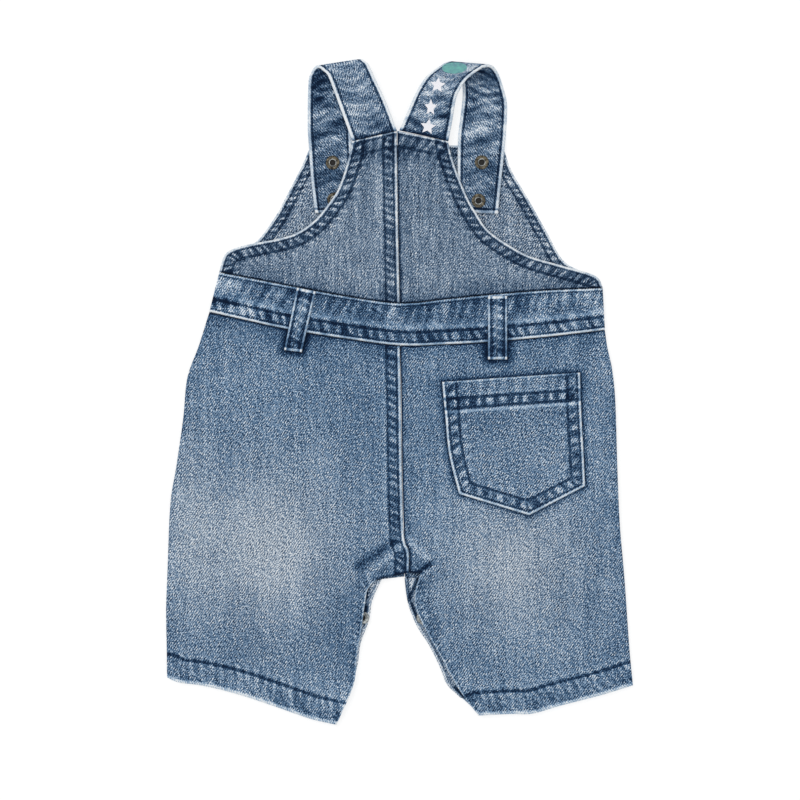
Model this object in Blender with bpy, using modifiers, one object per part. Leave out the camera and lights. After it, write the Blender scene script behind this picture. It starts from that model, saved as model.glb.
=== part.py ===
"""A baby's denim shortalls, laid flat on their front with the back up.

The frame is metres, +X across the garment, +Y from the hems to the straps and +Z up.
The outlines below are in millimetres, taken flat from above. Each panel of cloth is a
surface over its outline, and Solidify gives it its thickness upwards from there.
"""
import math

import bmesh
import bpy
import numpy as np

MM = 0.001

# Driving sizes, in millimetres
CENTRE = (0.0, -0.659)
CLOTH = 1.2
BAND_CLOTH = 2.0
HEM_CLOTH = 1.9
STRAP_CLOTH = 1.8
TAPE_CLOTH = 1.0
LOOP_CLOTH = 1.3
GAP = 0.3
LAID_GAP = 0.35
SEAM = GAP / 2
LOW_STRAP = STRAP_CLOTH / 2
BIB_STRAP = CLOTH + GAP + STRAP_CLOTH / 2
HIGH_STRAP = 4.9
CURVE_SAMPLES = 12

# Seams that two pieces share, each a row of points: across, up
WAIST_TOP = ((-115.5, 76.2), (-90.0, 71.3), (-65.6, 66.6), (-33.0, 60.6), (0.3, 56.3),
             (30.0, 59.0), (57.9, 61.8), (93.1, 64.6), (130.2, 66.2))
WAIST_BOTTOM = ((-121.9, 50.6), (-97.0, 45.0), (-70.0, 39.2), (-35.0, 33.6), (0.3, 29.1),
                (30.0, 29.8), (57.9, 31.4), (94.0, 34.6), (131.6, 39.0))
WAIST_CENTRE = 4
CENTRE_BIB = ((-1.6, 166.4), (-1.2, 134.0), (-0.6, 97.0), (0.3, 56.3))
CENTRE_SEAT = ((0.3, 29.1), (1.0, -5.8), (1.6, -50.6), (2.9, -92.0), (6.1, -103.0), (6.1, -116.4))
FRONT_WAIST = ((-117.5, 66.0), (-60.0, 58.0), (0.3, 55.0), (60.0, 57.0), (129.9, 60.0))
FRONT_WAIST_CENTRE = 2
CENTRE_FRONT = ((0.3, 55.0), (1.6, -40.0), (3.2, -119.0))

# Outer edges, each a row of points: across, up
ARMHOLE_LEFT = ((-30.4, 160.0), (-33.0, 147.8), (-38.7, 130.6), (-44.5, 121.0), (-54.1, 109.4),
                (-66.2, 101.1), (-79.0, 97.3), (-93.1, 94.6), (-104.2, 91.8), (-111.8, 87.4),
                (-115.5, 76.2))
ARMHOLE_RIGHT = ((31.0, 160.0), (34.2, 147.2), (42.6, 125.4), (49.0, 113.9), (56.6, 103.0),
                 (70.1, 93.4), (83.5, 86.4), (104.6, 80.2), (125.4, 73.8), (130.2, 66.2))
SIDE_LEFT = ((-121.9, 50.6), (-128.7, 28.8), (-136.0, 8.3), (-138.6, -17.3), (-143.0, -48.0),
             (-146.9, -73.0), (-148.8, -117.8), (-149.6, -140.2), (-149.2, -165.8), (-149.0, -183.6))
SIDE_RIGHT = ((131.6, 39.0), (133.2, 27.8), (136.3, 13.4), (138.3, -7.0), (139.6, -50.0),
              (141.2, -86.0), (144.2, -121.0), (147.4, -165.8), (149.6, -188.6))
HEM_LEFT = ((-149.0, -183.6), (-141.0, -186.9), (-126.4, -188.8), (-103.4, -194.4), (-80.3, -202.0),
            (-57.3, -210.0), (-40.4, -213.8))
HEM_RIGHT = ((50.6, -207.9), (70.7, -207.0), (85.0, -206.8), (103.4, -201.6), (129.6, -194.8),
             (149.6, -188.6))
INSEAM_LEFT = ((-15.0, -120.9), (-20.2, -126.8), (-22.4, -138.0), (-24.8, -155.0),
               (-27.4, -170.0), (-29.4, -188.0), (-40.4, -213.8))
INSEAM_RIGHT = ((13.4, -116.6), (10.2, -128.0), (10.4, -139.0), (17.4, -154.0), (26.4, -170.0),
                (38.6, -191.8), (50.6, -207.9))
FRONT_INSEAM_LEFT = ((-11.4, -120.8), (-14.8, -127.6), (-17.9, -135.8), (-19.6, -147.0),
                     (-25.0, -162.0), (-28.0, -180.0), (-39.6, -211.2))
FRONT_INSEAM_RIGHT = ((3.2, -119.8), (4.3, -129.9), (6.3, -139.0), (11.5, -151.3), (19.0, -163.0),
                      (25.9, -177.0), (30.3, -187.8), (37.4, -195.0), (50.0, -206.4))
FRONT_BIB_TOP = ((-57.2, 156.8), (0.0, 158.0), (66.4, 157.0))
FRONT_ARMHOLE_LEFT = ((-57.2, 156.8), (-62.8, 144.0), (-71.8, 126.4), (-80.2, 111.0),
                      (-91.4, 96.2), (-103.4, 89.8), (-112.4, 81.6), (-117.5, 66.3))
FRONT_ARMHOLE_RIGHT = ((66.4, 157.0), (71.8, 141.4), (81.6, 124.8), (94.2, 102.4), (105.2, 83.6),
                       (120.0, 75.0), (129.0, 68.0), (129.9, 60.3))
POCKET_TOP = ((27.2, 5.8), (70.0, 8.8), (115.5, 11.8))
POCKET_LEFT = ((27.2, 5.8), (29.1, -14.1), (31.7, -40.3), (38.1, -65.9))
POCKET_RIGHT = ((115.5, 11.8), (116.2, -12.0), (117.6, -38.0), (118.7, -60.8))
POCKET_POINT = (82.9, -79.4)

# Where what lies beneath lifts the back: middle across, middle up, reach across, reach up, rise
RISES = (
    (-78.0, -60.0, 58.0, 90.0, 1.7),
    (82.0, -60.0, 58.0, 90.0, 1.7),
    (0.0, 10.0, 90.0, 75.0, 1.4),
    (0.0, 105.0, 60.0, 60.0, 2.0),
    (0.0, 164.0, 76.0, 26.0, 2.6),
    (-41.6, 124.0, 26.0, 38.0, 3.1),
    (50.2, 123.0, 26.0, 38.0, 3.1),
    (-23.0, -146.0, 20.0, 50.0, 2.4),
    (-34.0, -188.0, 20.0, 26.0, 1.9),
    (15.0, -146.0, 20.0, 40.0, 2.4),
    (40.0, -188.0, 23.0, 26.0, 2.2),
)
RISE_SHARPNESS = 4

# Soft folds of the back: start across and up, end across and up, width, height
FOLDS = (
    (-8.0, -100.0, -58.0, -142.0, 9.0, 0.9),
    (12.0, -106.0, 58.0, -134.0, 9.0, 0.8),
    (-120.0, -150.0, -84.0, -120.0, 11.0, 0.7),
    (-112.0, 22.0, -60.0, 2.0, 9.0, 0.7),
    (96.0, -150.0, 122.0, -104.0, 12.0, 0.8),
    (-70.0, 88.0, -24.0, 74.0, 9.0, 0.6),
    (36.0, 78.0, 92.0, 74.0, 8.0, 0.6),
)

# A strap's sections: left across and up, right across and up, heights of the left and right edge
STRAP_LEFT_UP = (
    (-30.4, 160.4, -1.8, 166.8, HIGH_STRAP, HIGH_STRAP),
    (-34.2, 170.7, -5.6, 177.1, HIGH_STRAP, HIGH_STRAP),
    (-38.1, 181.4, -9.9, 187.8, HIGH_STRAP, 5.2),
    (-42.0, 192.1, -15.0, 198.5, 5.2, 5.9),
    (-45.8, 201.6, -19.4, 208.2, 5.5, 6.3),
)
STRAP_LEFT_DOWN = (
    (-58.2, 200.0, -31.6, 206.8, LOW_STRAP, LOW_STRAP),
    (-58.8, 187.2, -31.4, 191.4, LOW_STRAP, LOW_STRAP),
    (-58.9, 175.4, -31.0, 178.0, LOW_STRAP, LOW_STRAP),
    (-58.8, 167.0, -30.9, 168.5, 1.5, 1.5),
    (-58.3, 159.6, -30.7, 160.0, BIB_STRAP, BIB_STRAP),
    (-56.6, 135.7, -29.2, 135.7, BIB_STRAP, BIB_STRAP),
    (-54.1, 113.9, -27.2, 113.9, BIB_STRAP, BIB_STRAP),
)
STRAP_RIGHT_UP = (
    (0.0, 167.1, 31.4, 160.4, HIGH_STRAP, HIGH_STRAP),
    (4.6, 177.3, 34.0, 174.1, HIGH_STRAP, 5.4),
    (8.9, 187.3, 36.0, 186.2, 4.7, 6.6),
    (13.0, 195.2, 38.8, 192.8, 4.7, 8.0),
    (18.0, 201.8, 43.8, 199.7, 5.0, 9.0),
    (26.6, 208.1, 52.2, 205.8, 5.6, 8.8),
)
STRAP_RIGHT_DOWN = (
    (39.6, 204.0, 65.9, 196.5, LOW_STRAP, 1.4),
    (40.5, 190.4, 68.8, 185.4, LOW_STRAP, LOW_STRAP),
    (39.3, 177.4, 68.8, 174.3, LOW_STRAP, LOW_STRAP),
    (38.0, 167.6, 68.3, 166.5, 1.5, 1.5),
    (37.4, 159.4, 67.7, 159.0, BIB_STRAP, BIB_STRAP),
    (37.0, 135.0, 65.0, 133.1, BIB_STRAP, BIB_STRAP),
    (36.2, 114.6, 63.0, 113.5, BIB_STRAP, BIB_STRAP),
)
FOLD_STEPS = 6
# How far a strap's left and right edge reach out in its fold: across, up, across, up
FOLD_REACH_LEFT = (-1.6, 6.6, 0.6, 4.2)
FOLD_REACH_RIGHT = (1.0, 4.0, 1.4, 5.7)
STRAP_COLUMNS = 3
STRAP_STEPS = 2

# Belt loops: top left, top right, bottom right and bottom left corners
BELT_LOOPS = {
    "belt_loop_left": ((-65.6, 66.2), (-53.6, 63.6), (-62.6, 24.8), (-73.8, 26.2)),
    "belt_loop_right": ((56.6, 60.6), (68.8, 60.8), (68.8, 20.2), (56.6, 20.2)),
}

# Snaps: middle across and up, radius, height of the face that it sits on
SNAPS = {
    "strap_snap_left_high": (-42.8, 146.2, 4.5, BIB_STRAP + STRAP_CLOTH / 2),
    "strap_snap_left_low": (-41.8, 122.6, 4.5, BIB_STRAP + STRAP_CLOTH / 2),
    "strap_snap_right_high": (52.6, 146.4, 4.5, BIB_STRAP + STRAP_CLOTH / 2),
    "strap_snap_right_low": (50.6, 121.8, 4.5, BIB_STRAP + STRAP_CLOTH / 2),
    "inseam_snap_left": (-23.4, -145.3, 4.0, CLOTH + GAP + TAPE_CLOTH),
    "inseam_snap_right": (14.8, -145.3, 4.0, CLOTH + GAP + TAPE_CLOTH),
}
# A snap's section for a radius of 1: out, up; its height is in millimetres
SNAP_SECTION = ((0.30, 0.42), (0.62, 0.55), (0.86, 0.52), (0.98, 0.34), (1.00, 0.05), (0.96, 0.0), (0.30, 0.0))
SNAP_STEPS = 24


def new_material(name, colour, roughness, metallic=0.0):
    """A plain Principled material."""
    material = bpy.data.materials.new(name)
    material.use_nodes = True
    shader = material.node_tree.nodes["Principled BSDF"]
    shader.inputs["Base Color"].default_value = (*colour, 1.0)
    shader.inputs["Roughness"].default_value = roughness
    shader.inputs["Metallic"].default_value = metallic
    return material


def smooth_curve(points):
    """Closely spaced points on a smooth curve through the given ones."""
    given = np.array(points, float)
    ends = np.vstack([2 * given[0] - given[1], given, 2 * given[-1] - given[-2]])
    dense = []
    for i in range(1, len(ends) - 2):
        before, start, end, after = ends[i - 1:i + 3]
        for t in np.linspace(0.0, 1.0, CURVE_SAMPLES, endpoint=False):
            dense.append(0.5 * (2 * start + (end - before) * t
                                + (2 * before - 5 * start + 4 * end - after) * t ** 2
                                + (3 * start - before - 3 * end + after) * t ** 3))
    dense.append(given[-1])
    return np.array(dense)


def spaced(dense, steps):
    """Evenly spaced points along a closely sampled curve."""
    lengths = np.linalg.norm(np.diff(dense, axis=0), axis=1)
    along = np.concatenate([[0.0], np.cumsum(lengths)])
    where = np.linspace(0.0, along[-1], steps + 1)
    return np.column_stack([np.interp(where, along, dense[:, axis]) for axis in (0, 1)])


def run(points, steps):
    """Evenly spaced points along the smooth curve through a row of points."""
    return spaced(smooth_curve(points), steps)


def parted(points, middle, steps, up=0.0):
    """A shared seam's left and right halves, moved up and parted in the middle by the gap."""
    dense = smooth_curve(points) + np.array((0.0, up))
    cut = middle * CURVE_SAMPLES
    left = spaced(dense[:cut + 1], steps)
    right = spaced(dense[cut:], steps)
    left[-1, 0] -= SEAM
    right[0, 0] += SEAM
    return {-1: left, 1: right}


def whole(halves):
    """A shared seam's two halves as one run."""
    return np.vstack([halves[-1][:-1], halves[1]])


def joined(*runs):
    """Runs that follow each other, with each shared corner kept once."""
    return np.vstack([runs[0]] + [later[1:] for later in runs[1:]])


def moved(points, across=0.0, up=0.0):
    """The same points, shifted."""
    return tuple((x + across, y + up) for x, y in points)


def patch(top, bottom, left, right):
    """Points of a panel, filled in between its four edges."""
    columns = np.linspace(0.0, 1.0, len(top))[None, :, None]
    rows = np.linspace(0.0, 1.0, len(left))[:, None, None]
    across = (1 - rows) * top[None] + rows * bottom[None]
    down = (1 - columns) * left[:, None] + columns * right[:, None]
    corners = ((1 - rows) * ((1 - columns) * top[0] + columns * top[-1])
               + rows * ((1 - columns) * bottom[0] + columns * bottom[-1]))
    return across + down - corners


def side_patch(side, top, bottom, outer, inner):
    """A left or right panel, whose inner edge lies towards the garment's middle."""
    if side < 0:
        return patch(top, bottom, outer, inner)
    return patch(top, bottom, inner, outer)


def ends_of(side, points):
    """A half seam's outer and inner ends."""
    if side < 0:
        return tuple(points[0]), tuple(points[-1])
    return tuple(points[-1]), tuple(points[0])


def crossing(side, outer, inner, steps):
    """A straight edge from left to right between a panel's outer and inner corners."""
    if side < 0:
        return np.linspace(outer, inner, steps + 1)
    return np.linspace(inner, outer, steps + 1)


def rise_of_back(x, y):
    """How high the underside of the back lies over the front at a place."""
    total = 0.0
    for middle_x, middle_y, reach_x, reach_y, rise in RISES:
        spread = ((x - middle_x) / reach_x) ** 2 + ((y - middle_y) / reach_y) ** 2
        total += (rise * math.exp(-spread)) ** RISE_SHARPNESS
    return CLOTH + GAP + total ** (1.0 / RISE_SHARPNESS)


def fold_height(x, y):
    """Height of the soft folds at a place."""
    height = 0.0
    for start_x, start_y, end_x, end_y, width, crest in FOLDS:
        along_x = end_x - start_x
        along_y = end_y - start_y
        t = ((x - start_x) * along_x + (y - start_y) * along_y) / (along_x ** 2 + along_y ** 2)
        t = min(1.0, max(0.0, t))
        away = math.hypot(x - start_x - t * along_x, y - start_y - t * along_y)
        height += crest * math.sin(math.pi * (0.1 + 0.8 * t)) * math.exp(-(away / width) ** 2)
    return height


def back_height(x, y):
    """Underside of the back panels."""
    return rise_of_back(x, y) + fold_height(x, y)


def flat_height(x, y):
    """Underside of the front panels, which rest on the surface below."""
    return 0.0


def tape_height(x, y):
    """Underside of the facings, which lie on the front panels."""
    return CLOTH + GAP


def pocket_height(x, y):
    """Underside of the pocket, which follows the leg's face."""
    return back_height(x, y) + CLOTH + LAID_GAP


def loop_height(x, y):
    """Underside of the belt loops, which follow the waistband's face."""
    return back_height(x, y) + BAND_CLOTH + LAID_GAP


def grid_mesh(bm, points):
    """A grid of faces through a table of points, facing up."""
    rows = len(points) - 1
    columns = len(points[0]) - 1
    bmesh.ops.create_grid(bm, x_segments=columns, y_segments=rows, size=0.5)
    places = {}
    for vertex in bm.verts:
        column = round((vertex.co.x + 0.5) * columns)
        row = round((0.5 - vertex.co.y) * rows)
        places[vertex.index] = (row, column)
        vertex.co = points[row][column]
    return places


def add_object(name, mesh, material):
    """An object in the garment's collection."""
    mesh.materials.append(material)
    part = bpy.data.objects.new(name, mesh)
    garment.objects.link(part)
    return part


def cloth(name, plan, height, thickness, material):
    """A panel: its plan laid at a height, and thickened upwards by a table of thicknesses."""
    points = [[((x - CENTRE[0]) * MM, (y - CENTRE[1]) * MM, height(x, y) * MM) for x, y in row]
              for row in plan]
    bm = bmesh.new()
    places = grid_mesh(bm, points)
    bm.normal_update()
    if sum(face.normal.z * face.calc_area() for face in bm.faces) < 0.0:
        bmesh.ops.reverse_faces(bm, faces=bm.faces)
    mesh = bpy.data.meshes.new(name)
    bm.to_mesh(mesh)
    bm.free()
    part = add_object(name, mesh, material)
    thickest = float(np.max(thickness))
    group = part.vertex_groups.new(name="thickness")
    for index, (row, column) in places.items():
        group.add([index], float(thickness[row][column]) / thickest, "REPLACE")
    solid = part.modifiers.new("Thickness", "SOLIDIFY")
    solid.thickness = thickest * MM
    solid.offset = 1.0
    solid.vertex_group = group.name
    mesh.shade_smooth()
    return part


def even(plan, value=CLOTH):
    """One thickness all over a panel."""
    return np.full(plan.shape[:2], value)


def fold_over(start, end, reach):
    """Sections of a strap that rolls over from one run to the next."""
    first = np.array(start)
    last = np.array(end)
    sections = []
    for step in range(1, FOLD_STEPS):
        turn = math.pi * step / FOLD_STEPS
        section = first + (last - first) * step / FOLD_STEPS
        bulge = math.sin(turn)
        section[0:4] += np.array(reach) * bulge
        section[4:6] = (first[4:6] + last[4:6]) / 2 + (first[4:6] - last[4:6]) / 2 * math.cos(turn)
        sections.append(tuple(section))
    return sections


def strap(name, up, down, reach, material):
    """A strap of double cloth: up from the bib, over, and down on the front bib."""
    sections = list(up) + fold_over(up[-1], down[0], reach) + list(down)
    dense = smooth_curve(sections)[::CURVE_SAMPLES // STRAP_STEPS]
    points = []
    for left_x, left_y, right_x, right_y, left_height, right_height in dense:
        row = []
        for t in np.linspace(0.0, 1.0, STRAP_COLUMNS + 1):
            x = left_x + (right_x - left_x) * t - CENTRE[0]
            y = left_y + (right_y - left_y) * t - CENTRE[1]
            height = max(left_height + (right_height - left_height) * t, LOW_STRAP)
            row.append((x * MM, y * MM, height * MM))
        points.append(row)
    bm = bmesh.new()
    grid_mesh(bm, points)
    mesh = bpy.data.meshes.new(name)
    bm.to_mesh(mesh)
    bm.free()
    part = add_object(name, mesh, material)
    solid = part.modifiers.new("Thickness", "SOLIDIFY")
    solid.thickness = STRAP_CLOTH * MM
    solid.offset = 0.0
    mesh.shade_smooth()
    return part


def snap(name, x, y, radius, seat, material):
    """A ring snap, turned about its own axis."""
    mesh = bpy.data.meshes.new(name)
    corners = [(out * radius * MM, 0.0, up * MM) for out, up in SNAP_SECTION]
    sides = [(i, (i + 1) % len(corners)) for i in range(len(corners))]
    mesh.from_pydata(corners, sides, [])
    part = add_object(name, mesh, material)
    part.location = ((x - CENTRE[0]) * MM, (y - CENTRE[1]) * MM, (seat + GAP) * MM)
    turn = part.modifiers.new("Turn", "SCREW")
    turn.steps = SNAP_STEPS
    turn.render_steps = SNAP_STEPS
    turn.use_merge_vertices = True
    turn.merge_threshold = 0.00001
    turn.use_smooth_shade = True
    return part


def back_bib():
    """The two upper back panels, which meet in the centre seam."""
    rows = 14
    columns = 8
    waist = parted(WAIST_TOP, WAIST_CENTRE, columns, up=SEAM)
    shapes = (("back_bib_left", -1, ARMHOLE_LEFT), ("back_bib_right", 1, ARMHOLE_RIGHT))
    for name, side, armhole in shapes:
        outer_end, inner_end = ends_of(side, waist[side])
        seam = run(moved(CENTRE_BIB, across=side * SEAM), rows)
        seam[-1] = inner_end
        top = crossing(side, armhole[0], seam[0], columns)
        outer = run(armhole[:-1] + (outer_end,), rows)
        plan = side_patch(side, top, waist[side], outer, seam)
        thickness = even(plan)
        thickness[0] = HEM_CLOTH
        thickness[:, 0 if side < 0 else -1] = HEM_CLOTH
        cloth(name, plan, back_height, thickness, denim_bib)


def waistband():
    """The strip across the back at the waist."""
    columns = 14
    top = parted(WAIST_TOP, WAIST_CENTRE, columns, up=-SEAM)
    bottom = parted(WAIST_BOTTOM, WAIST_CENTRE, columns, up=SEAM)
    top = whole(top)
    bottom = whole(bottom)
    rows = 4
    left = np.linspace(top[0], bottom[0], rows + 1)
    right = np.linspace(top[-1], bottom[-1], rows + 1)
    plan = patch(top, bottom, left, right)
    cloth("back_waistband", plan, back_height, even(plan, BAND_CLOTH), denim_seam)


def back_legs():
    """The two lower back panels, with their crotch corner, inseam and turned hem."""
    columns = 12
    seat_rows = 12
    waist = parted(WAIST_BOTTOM, WAIST_CENTRE, columns, up=-SEAM)
    shapes = (
        ("back_leg_left", -1, SIDE_LEFT, HEM_LEFT, INSEAM_LEFT, 2, 8),
        ("back_leg_right", 1, SIDE_RIGHT, HEM_RIGHT, INSEAM_RIGHT, 1, 9),
    )
    for name, side, outer, hem, inseam, crotch_rows, inseam_rows in shapes:
        outer_end, inner_end = ends_of(side, waist[side])
        seat = run(moved(CENTRE_SEAT, across=side * SEAM), seat_rows)
        seat[0] = inner_end
        crotch = np.linspace(seat[-1], inseam[0], crotch_rows + 1)
        inner = joined(seat, crotch, run(inseam, inseam_rows))
        flank = run((outer_end,) + outer[1:], len(inner) - 1)
        plan = side_patch(side, waist[side], run(hem, columns), flank, inner)
        thickness = even(plan)
        thickness[-2:] = HEM_CLOTH
        cloth(name, plan, back_height, thickness, denim_leg)


def front_panels():
    """The front, which lies flat beneath: the bib and two legs."""
    columns = 8
    rows = 10
    waist = whole(parted(FRONT_WAIST, FRONT_WAIST_CENTRE, columns, up=SEAM))
    top = run(FRONT_BIB_TOP, len(waist) - 1)
    left = run(FRONT_ARMHOLE_LEFT[:-1] + (tuple(waist[0]),), rows)
    right = run(FRONT_ARMHOLE_RIGHT[:-1] + (tuple(waist[-1]),), rows)
    plan = patch(top, waist, left, right)
    cloth("front_bib", plan, flat_height, even(plan), denim_bib)

    tuck = 0.6
    hem_rise = 1.0
    inseam_rows = 8
    waist = parted(FRONT_WAIST, FRONT_WAIST_CENTRE, columns, up=-SEAM)
    shapes = (
        ("front_leg_left", -1, SIDE_LEFT, HEM_LEFT, FRONT_INSEAM_LEFT),
        ("front_leg_right", 1, SIDE_RIGHT, HEM_RIGHT, FRONT_INSEAM_RIGHT),
    )
    for name, side, outer, hem, inseam in shapes:
        outer_end, inner_end = ends_of(side, waist[side])
        centre = run(moved(CENTRE_FRONT, across=side * SEAM), rows)
        centre[0] = inner_end
        edge = run(moved(inseam, across=side * tuck), inseam_rows)
        inner = joined(centre, np.array((centre[-1], edge[0])), edge)
        bottom = run(moved(hem, up=hem_rise), columns)
        bottom[-1 if side < 0 else 0] = inner[-1]
        corner, _ = ends_of(side, bottom)
        flank = run((outer_end,) + outer[:-1] + (corner,), len(inner) - 1)
        plan = side_patch(side, waist[side], bottom, flank, inner)
        cloth(name, plan, flat_height, even(plan), denim_leg)


def inseam_facings():
    """The strips along the front's inseams, which show between the legs."""
    width = 9.0
    steps = 12
    for name, inseam, side in (("inseam_facing_left", FRONT_INSEAM_LEFT, -1),
                               ("inseam_facing_right", FRONT_INSEAM_RIGHT, 1)):
        edge = run(inseam, steps + 2)[:-2]
        inner = edge + np.array((side * width, 0.0))
        across = np.linspace(0.0, 1.0, 3)[None, :, None]
        plan = edge[:, None] * (1 - across) + inner[:, None] * across
        cloth(name, plan, tape_height, even(plan, TAPE_CLOTH), denim_facing)


def pocket():
    """The patch pocket on the right leg, pointed at the bottom and turned in at the top."""
    columns = 12
    point_column = 7
    rows = 10
    left = run(POCKET_LEFT, rows)
    right = run(POCKET_RIGHT, rows)
    bottom = joined(np.linspace(left[-1], POCKET_POINT, point_column + 1),
                    np.linspace(POCKET_POINT, right[-1], columns - point_column + 1))
    plan = patch(run(POCKET_TOP, columns), bottom, left, right)
    thickness = even(plan)
    thickness[:2] = HEM_CLOTH
    cloth("back_pocket", plan, pocket_height, thickness, denim_leg)


def belt_loops():
    """The two loops over the waistband."""
    rows = 8
    for name, (top_left, top_right, bottom_right, bottom_left) in BELT_LOOPS.items():
        top = np.linspace(top_left, top_right, 3)
        bottom = np.linspace(bottom_left, bottom_right, 3)
        plan = np.linspace(top, bottom, rows + 1)
        cloth(name, plan, loop_height, even(plan, LOOP_CLOTH), denim_seam)


for old in list(bpy.data.objects):
    bpy.data.objects.remove(old, do_unlink=True)
garment = bpy.data.collections.new("shortalls")
bpy.context.scene.collection.children.link(garment)

denim_leg = new_material("denim_leg", (0.14, 0.22, 0.36), 0.85)
denim_bib = new_material("denim_bib", (0.19, 0.26, 0.38), 0.85)
denim_seam = new_material("denim_seam", (0.09, 0.15, 0.28), 0.85)
denim_strap = new_material("denim_strap", (0.13, 0.20, 0.33), 0.85)
denim_facing = new_material("denim_facing", (0.40, 0.47, 0.53), 0.88)
antique_brass = new_material("antique_brass", (0.30, 0.22, 0.12), 0.42, 1.0)

front_panels()
inseam_facings()
back_legs()
waistband()
back_bib()
strap("strap_left", STRAP_LEFT_UP, STRAP_LEFT_DOWN, FOLD_REACH_LEFT, denim_strap)
strap("strap_right", STRAP_RIGHT_UP, STRAP_RIGHT_DOWN, FOLD_REACH_RIGHT, denim_strap)
pocket()
belt_loops()
for snap_name, (snap_x, snap_y, snap_radius, snap_seat) in SNAPS.items():
    snap(snap_name, snap_x, snap_y, snap_radius, snap_seat, antique_brass)
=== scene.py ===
"""The dress of a baby's denim shortalls, laid flat on their front with the back up.

The outlines are in millimetres, across and up as seen from above, as in the part's source.
Each piece of cloth is a closed shell over its outline, with its puckers and ridges in its
mesh. Its stitched rows, worn edges and weave are in its material, which reads how far each
point lies from the piece's edges and seams. The colour also carries painted shade and highlight:
beside raised edges, seams and belt loops, along creases, and in the straps' folds.
"""

import math

import bpy
import numpy as np
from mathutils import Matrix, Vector
from mathutils.bvhtree import BVHTree


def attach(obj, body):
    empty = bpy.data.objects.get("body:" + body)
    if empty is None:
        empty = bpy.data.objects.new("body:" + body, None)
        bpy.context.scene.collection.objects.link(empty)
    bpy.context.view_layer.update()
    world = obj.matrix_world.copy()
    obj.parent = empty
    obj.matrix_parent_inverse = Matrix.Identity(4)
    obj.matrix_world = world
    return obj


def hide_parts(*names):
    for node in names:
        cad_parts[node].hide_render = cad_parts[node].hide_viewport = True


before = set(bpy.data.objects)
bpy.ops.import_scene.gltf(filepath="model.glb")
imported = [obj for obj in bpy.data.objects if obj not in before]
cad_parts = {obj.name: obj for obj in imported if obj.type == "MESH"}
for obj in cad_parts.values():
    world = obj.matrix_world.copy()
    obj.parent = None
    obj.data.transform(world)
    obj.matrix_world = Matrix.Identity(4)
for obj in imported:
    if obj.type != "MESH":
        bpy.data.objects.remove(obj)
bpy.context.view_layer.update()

MM = 0.001

# Driving sizes, in millimetres
CENTRE = (0.0, -0.659)
CLOTH = 1.2
BAND_CLOTH = 2.0
HEM_CLOTH = 1.9
STRAP_CLOTH = 1.8
TAPE_CLOTH = 1.0
LOOP_CLOTH = 1.3
GAP = 0.3
LAID_GAP = 0.35
SEAM = GAP / 2
LOW_STRAP = STRAP_CLOTH / 2
BIB_STRAP = CLOTH + GAP + STRAP_CLOTH / 2
HIGH_STRAP = 4.9
# How wide the turned edges of bibs, legs and pocket are
BIB_TURNED = 8.6
LEG_TURNED = 15.0
POCKET_TURNED = 17.8
# Steps from one given point of a smooth curve to the next
CURVE_SAMPLES = 12

# Seams that two pieces share, each a row of points: across, up
WAIST_TOP = ((-115.5, 76.2), (-90.0, 71.3), (-65.6, 66.6), (-33.0, 60.6), (0.3, 56.3),
             (30.0, 59.0), (57.9, 61.8), (93.1, 64.6), (130.2, 66.2))
WAIST_BOTTOM = ((-121.9, 50.6), (-97.0, 45.0), (-70.0, 39.2), (-35.0, 33.6), (0.3, 29.1),
                (30.0, 29.8), (57.9, 31.4), (94.0, 34.6), (131.6, 39.0))
WAIST_CENTRE = 4
CENTRE_BIB = ((-1.6, 166.4), (-1.2, 134.0), (-0.6, 97.0), (0.3, 56.3))
CENTRE_SEAT = ((0.3, 29.1), (1.0, -5.8), (1.6, -50.6), (2.9, -92.0), (6.1, -103.0), (6.1, -116.4))
FRONT_WAIST = ((-117.5, 66.0), (-60.0, 58.0), (0.3, 55.0), (60.0, 57.0), (129.9, 60.0))
FRONT_WAIST_CENTRE = 2
CENTRE_FRONT = ((0.3, 55.0), (1.6, -40.0), (3.2, -119.0))

# Outer edges, each a row of points: across, up
ARMHOLE_LEFT = ((-30.4, 160.0), (-33.0, 147.8), (-38.7, 130.6), (-44.5, 121.0), (-54.1, 109.4),
                (-66.2, 101.1), (-79.0, 97.3), (-93.1, 94.6), (-104.2, 91.8), (-111.8, 87.4),
                (-115.5, 76.2))
ARMHOLE_RIGHT = ((31.0, 160.0), (34.2, 147.2), (42.6, 125.4), (49.0, 113.9), (56.6, 103.0),
                 (70.1, 93.4), (83.5, 86.4), (104.6, 80.2), (125.4, 73.8), (130.2, 66.2))
SIDE_LEFT = ((-121.9, 50.6), (-128.7, 28.8), (-136.0, 8.3), (-138.6, -17.3), (-143.0, -48.0),
             (-146.9, -73.0), (-148.8, -117.8), (-149.6, -140.2), (-149.2, -165.8), (-149.0, -183.6))
SIDE_RIGHT = ((131.6, 39.0), (133.2, 27.8), (136.3, 13.4), (138.3, -7.0), (139.6, -50.0),
              (141.2, -86.0), (144.2, -121.0), (147.4, -165.8), (149.6, -188.6))
HEM_LEFT = ((-149.0, -183.6), (-141.0, -186.9), (-126.4, -188.8), (-103.4, -194.4), (-80.3, -202.0),
            (-57.3, -210.0), (-40.4, -213.8))
HEM_RIGHT = ((50.6, -207.9), (70.7, -207.0), (85.0, -206.8), (103.4, -201.6), (129.6, -194.8),
             (149.6, -188.6))
INSEAM_LEFT = ((-15.0, -120.9), (-20.2, -126.8), (-22.4, -138.0), (-24.8, -155.0),
               (-27.4, -170.0), (-29.4, -188.0), (-40.4, -213.8))
INSEAM_RIGHT = ((13.4, -116.6), (10.2, -128.0), (10.4, -139.0), (17.4, -154.0), (26.4, -170.0),
                (38.6, -191.8), (50.6, -207.9))
FRONT_INSEAM_LEFT = ((-11.4, -120.8), (-14.8, -127.6), (-17.9, -135.8), (-19.6, -147.0),
                     (-25.0, -162.0), (-28.0, -180.0), (-39.6, -211.2))
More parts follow.
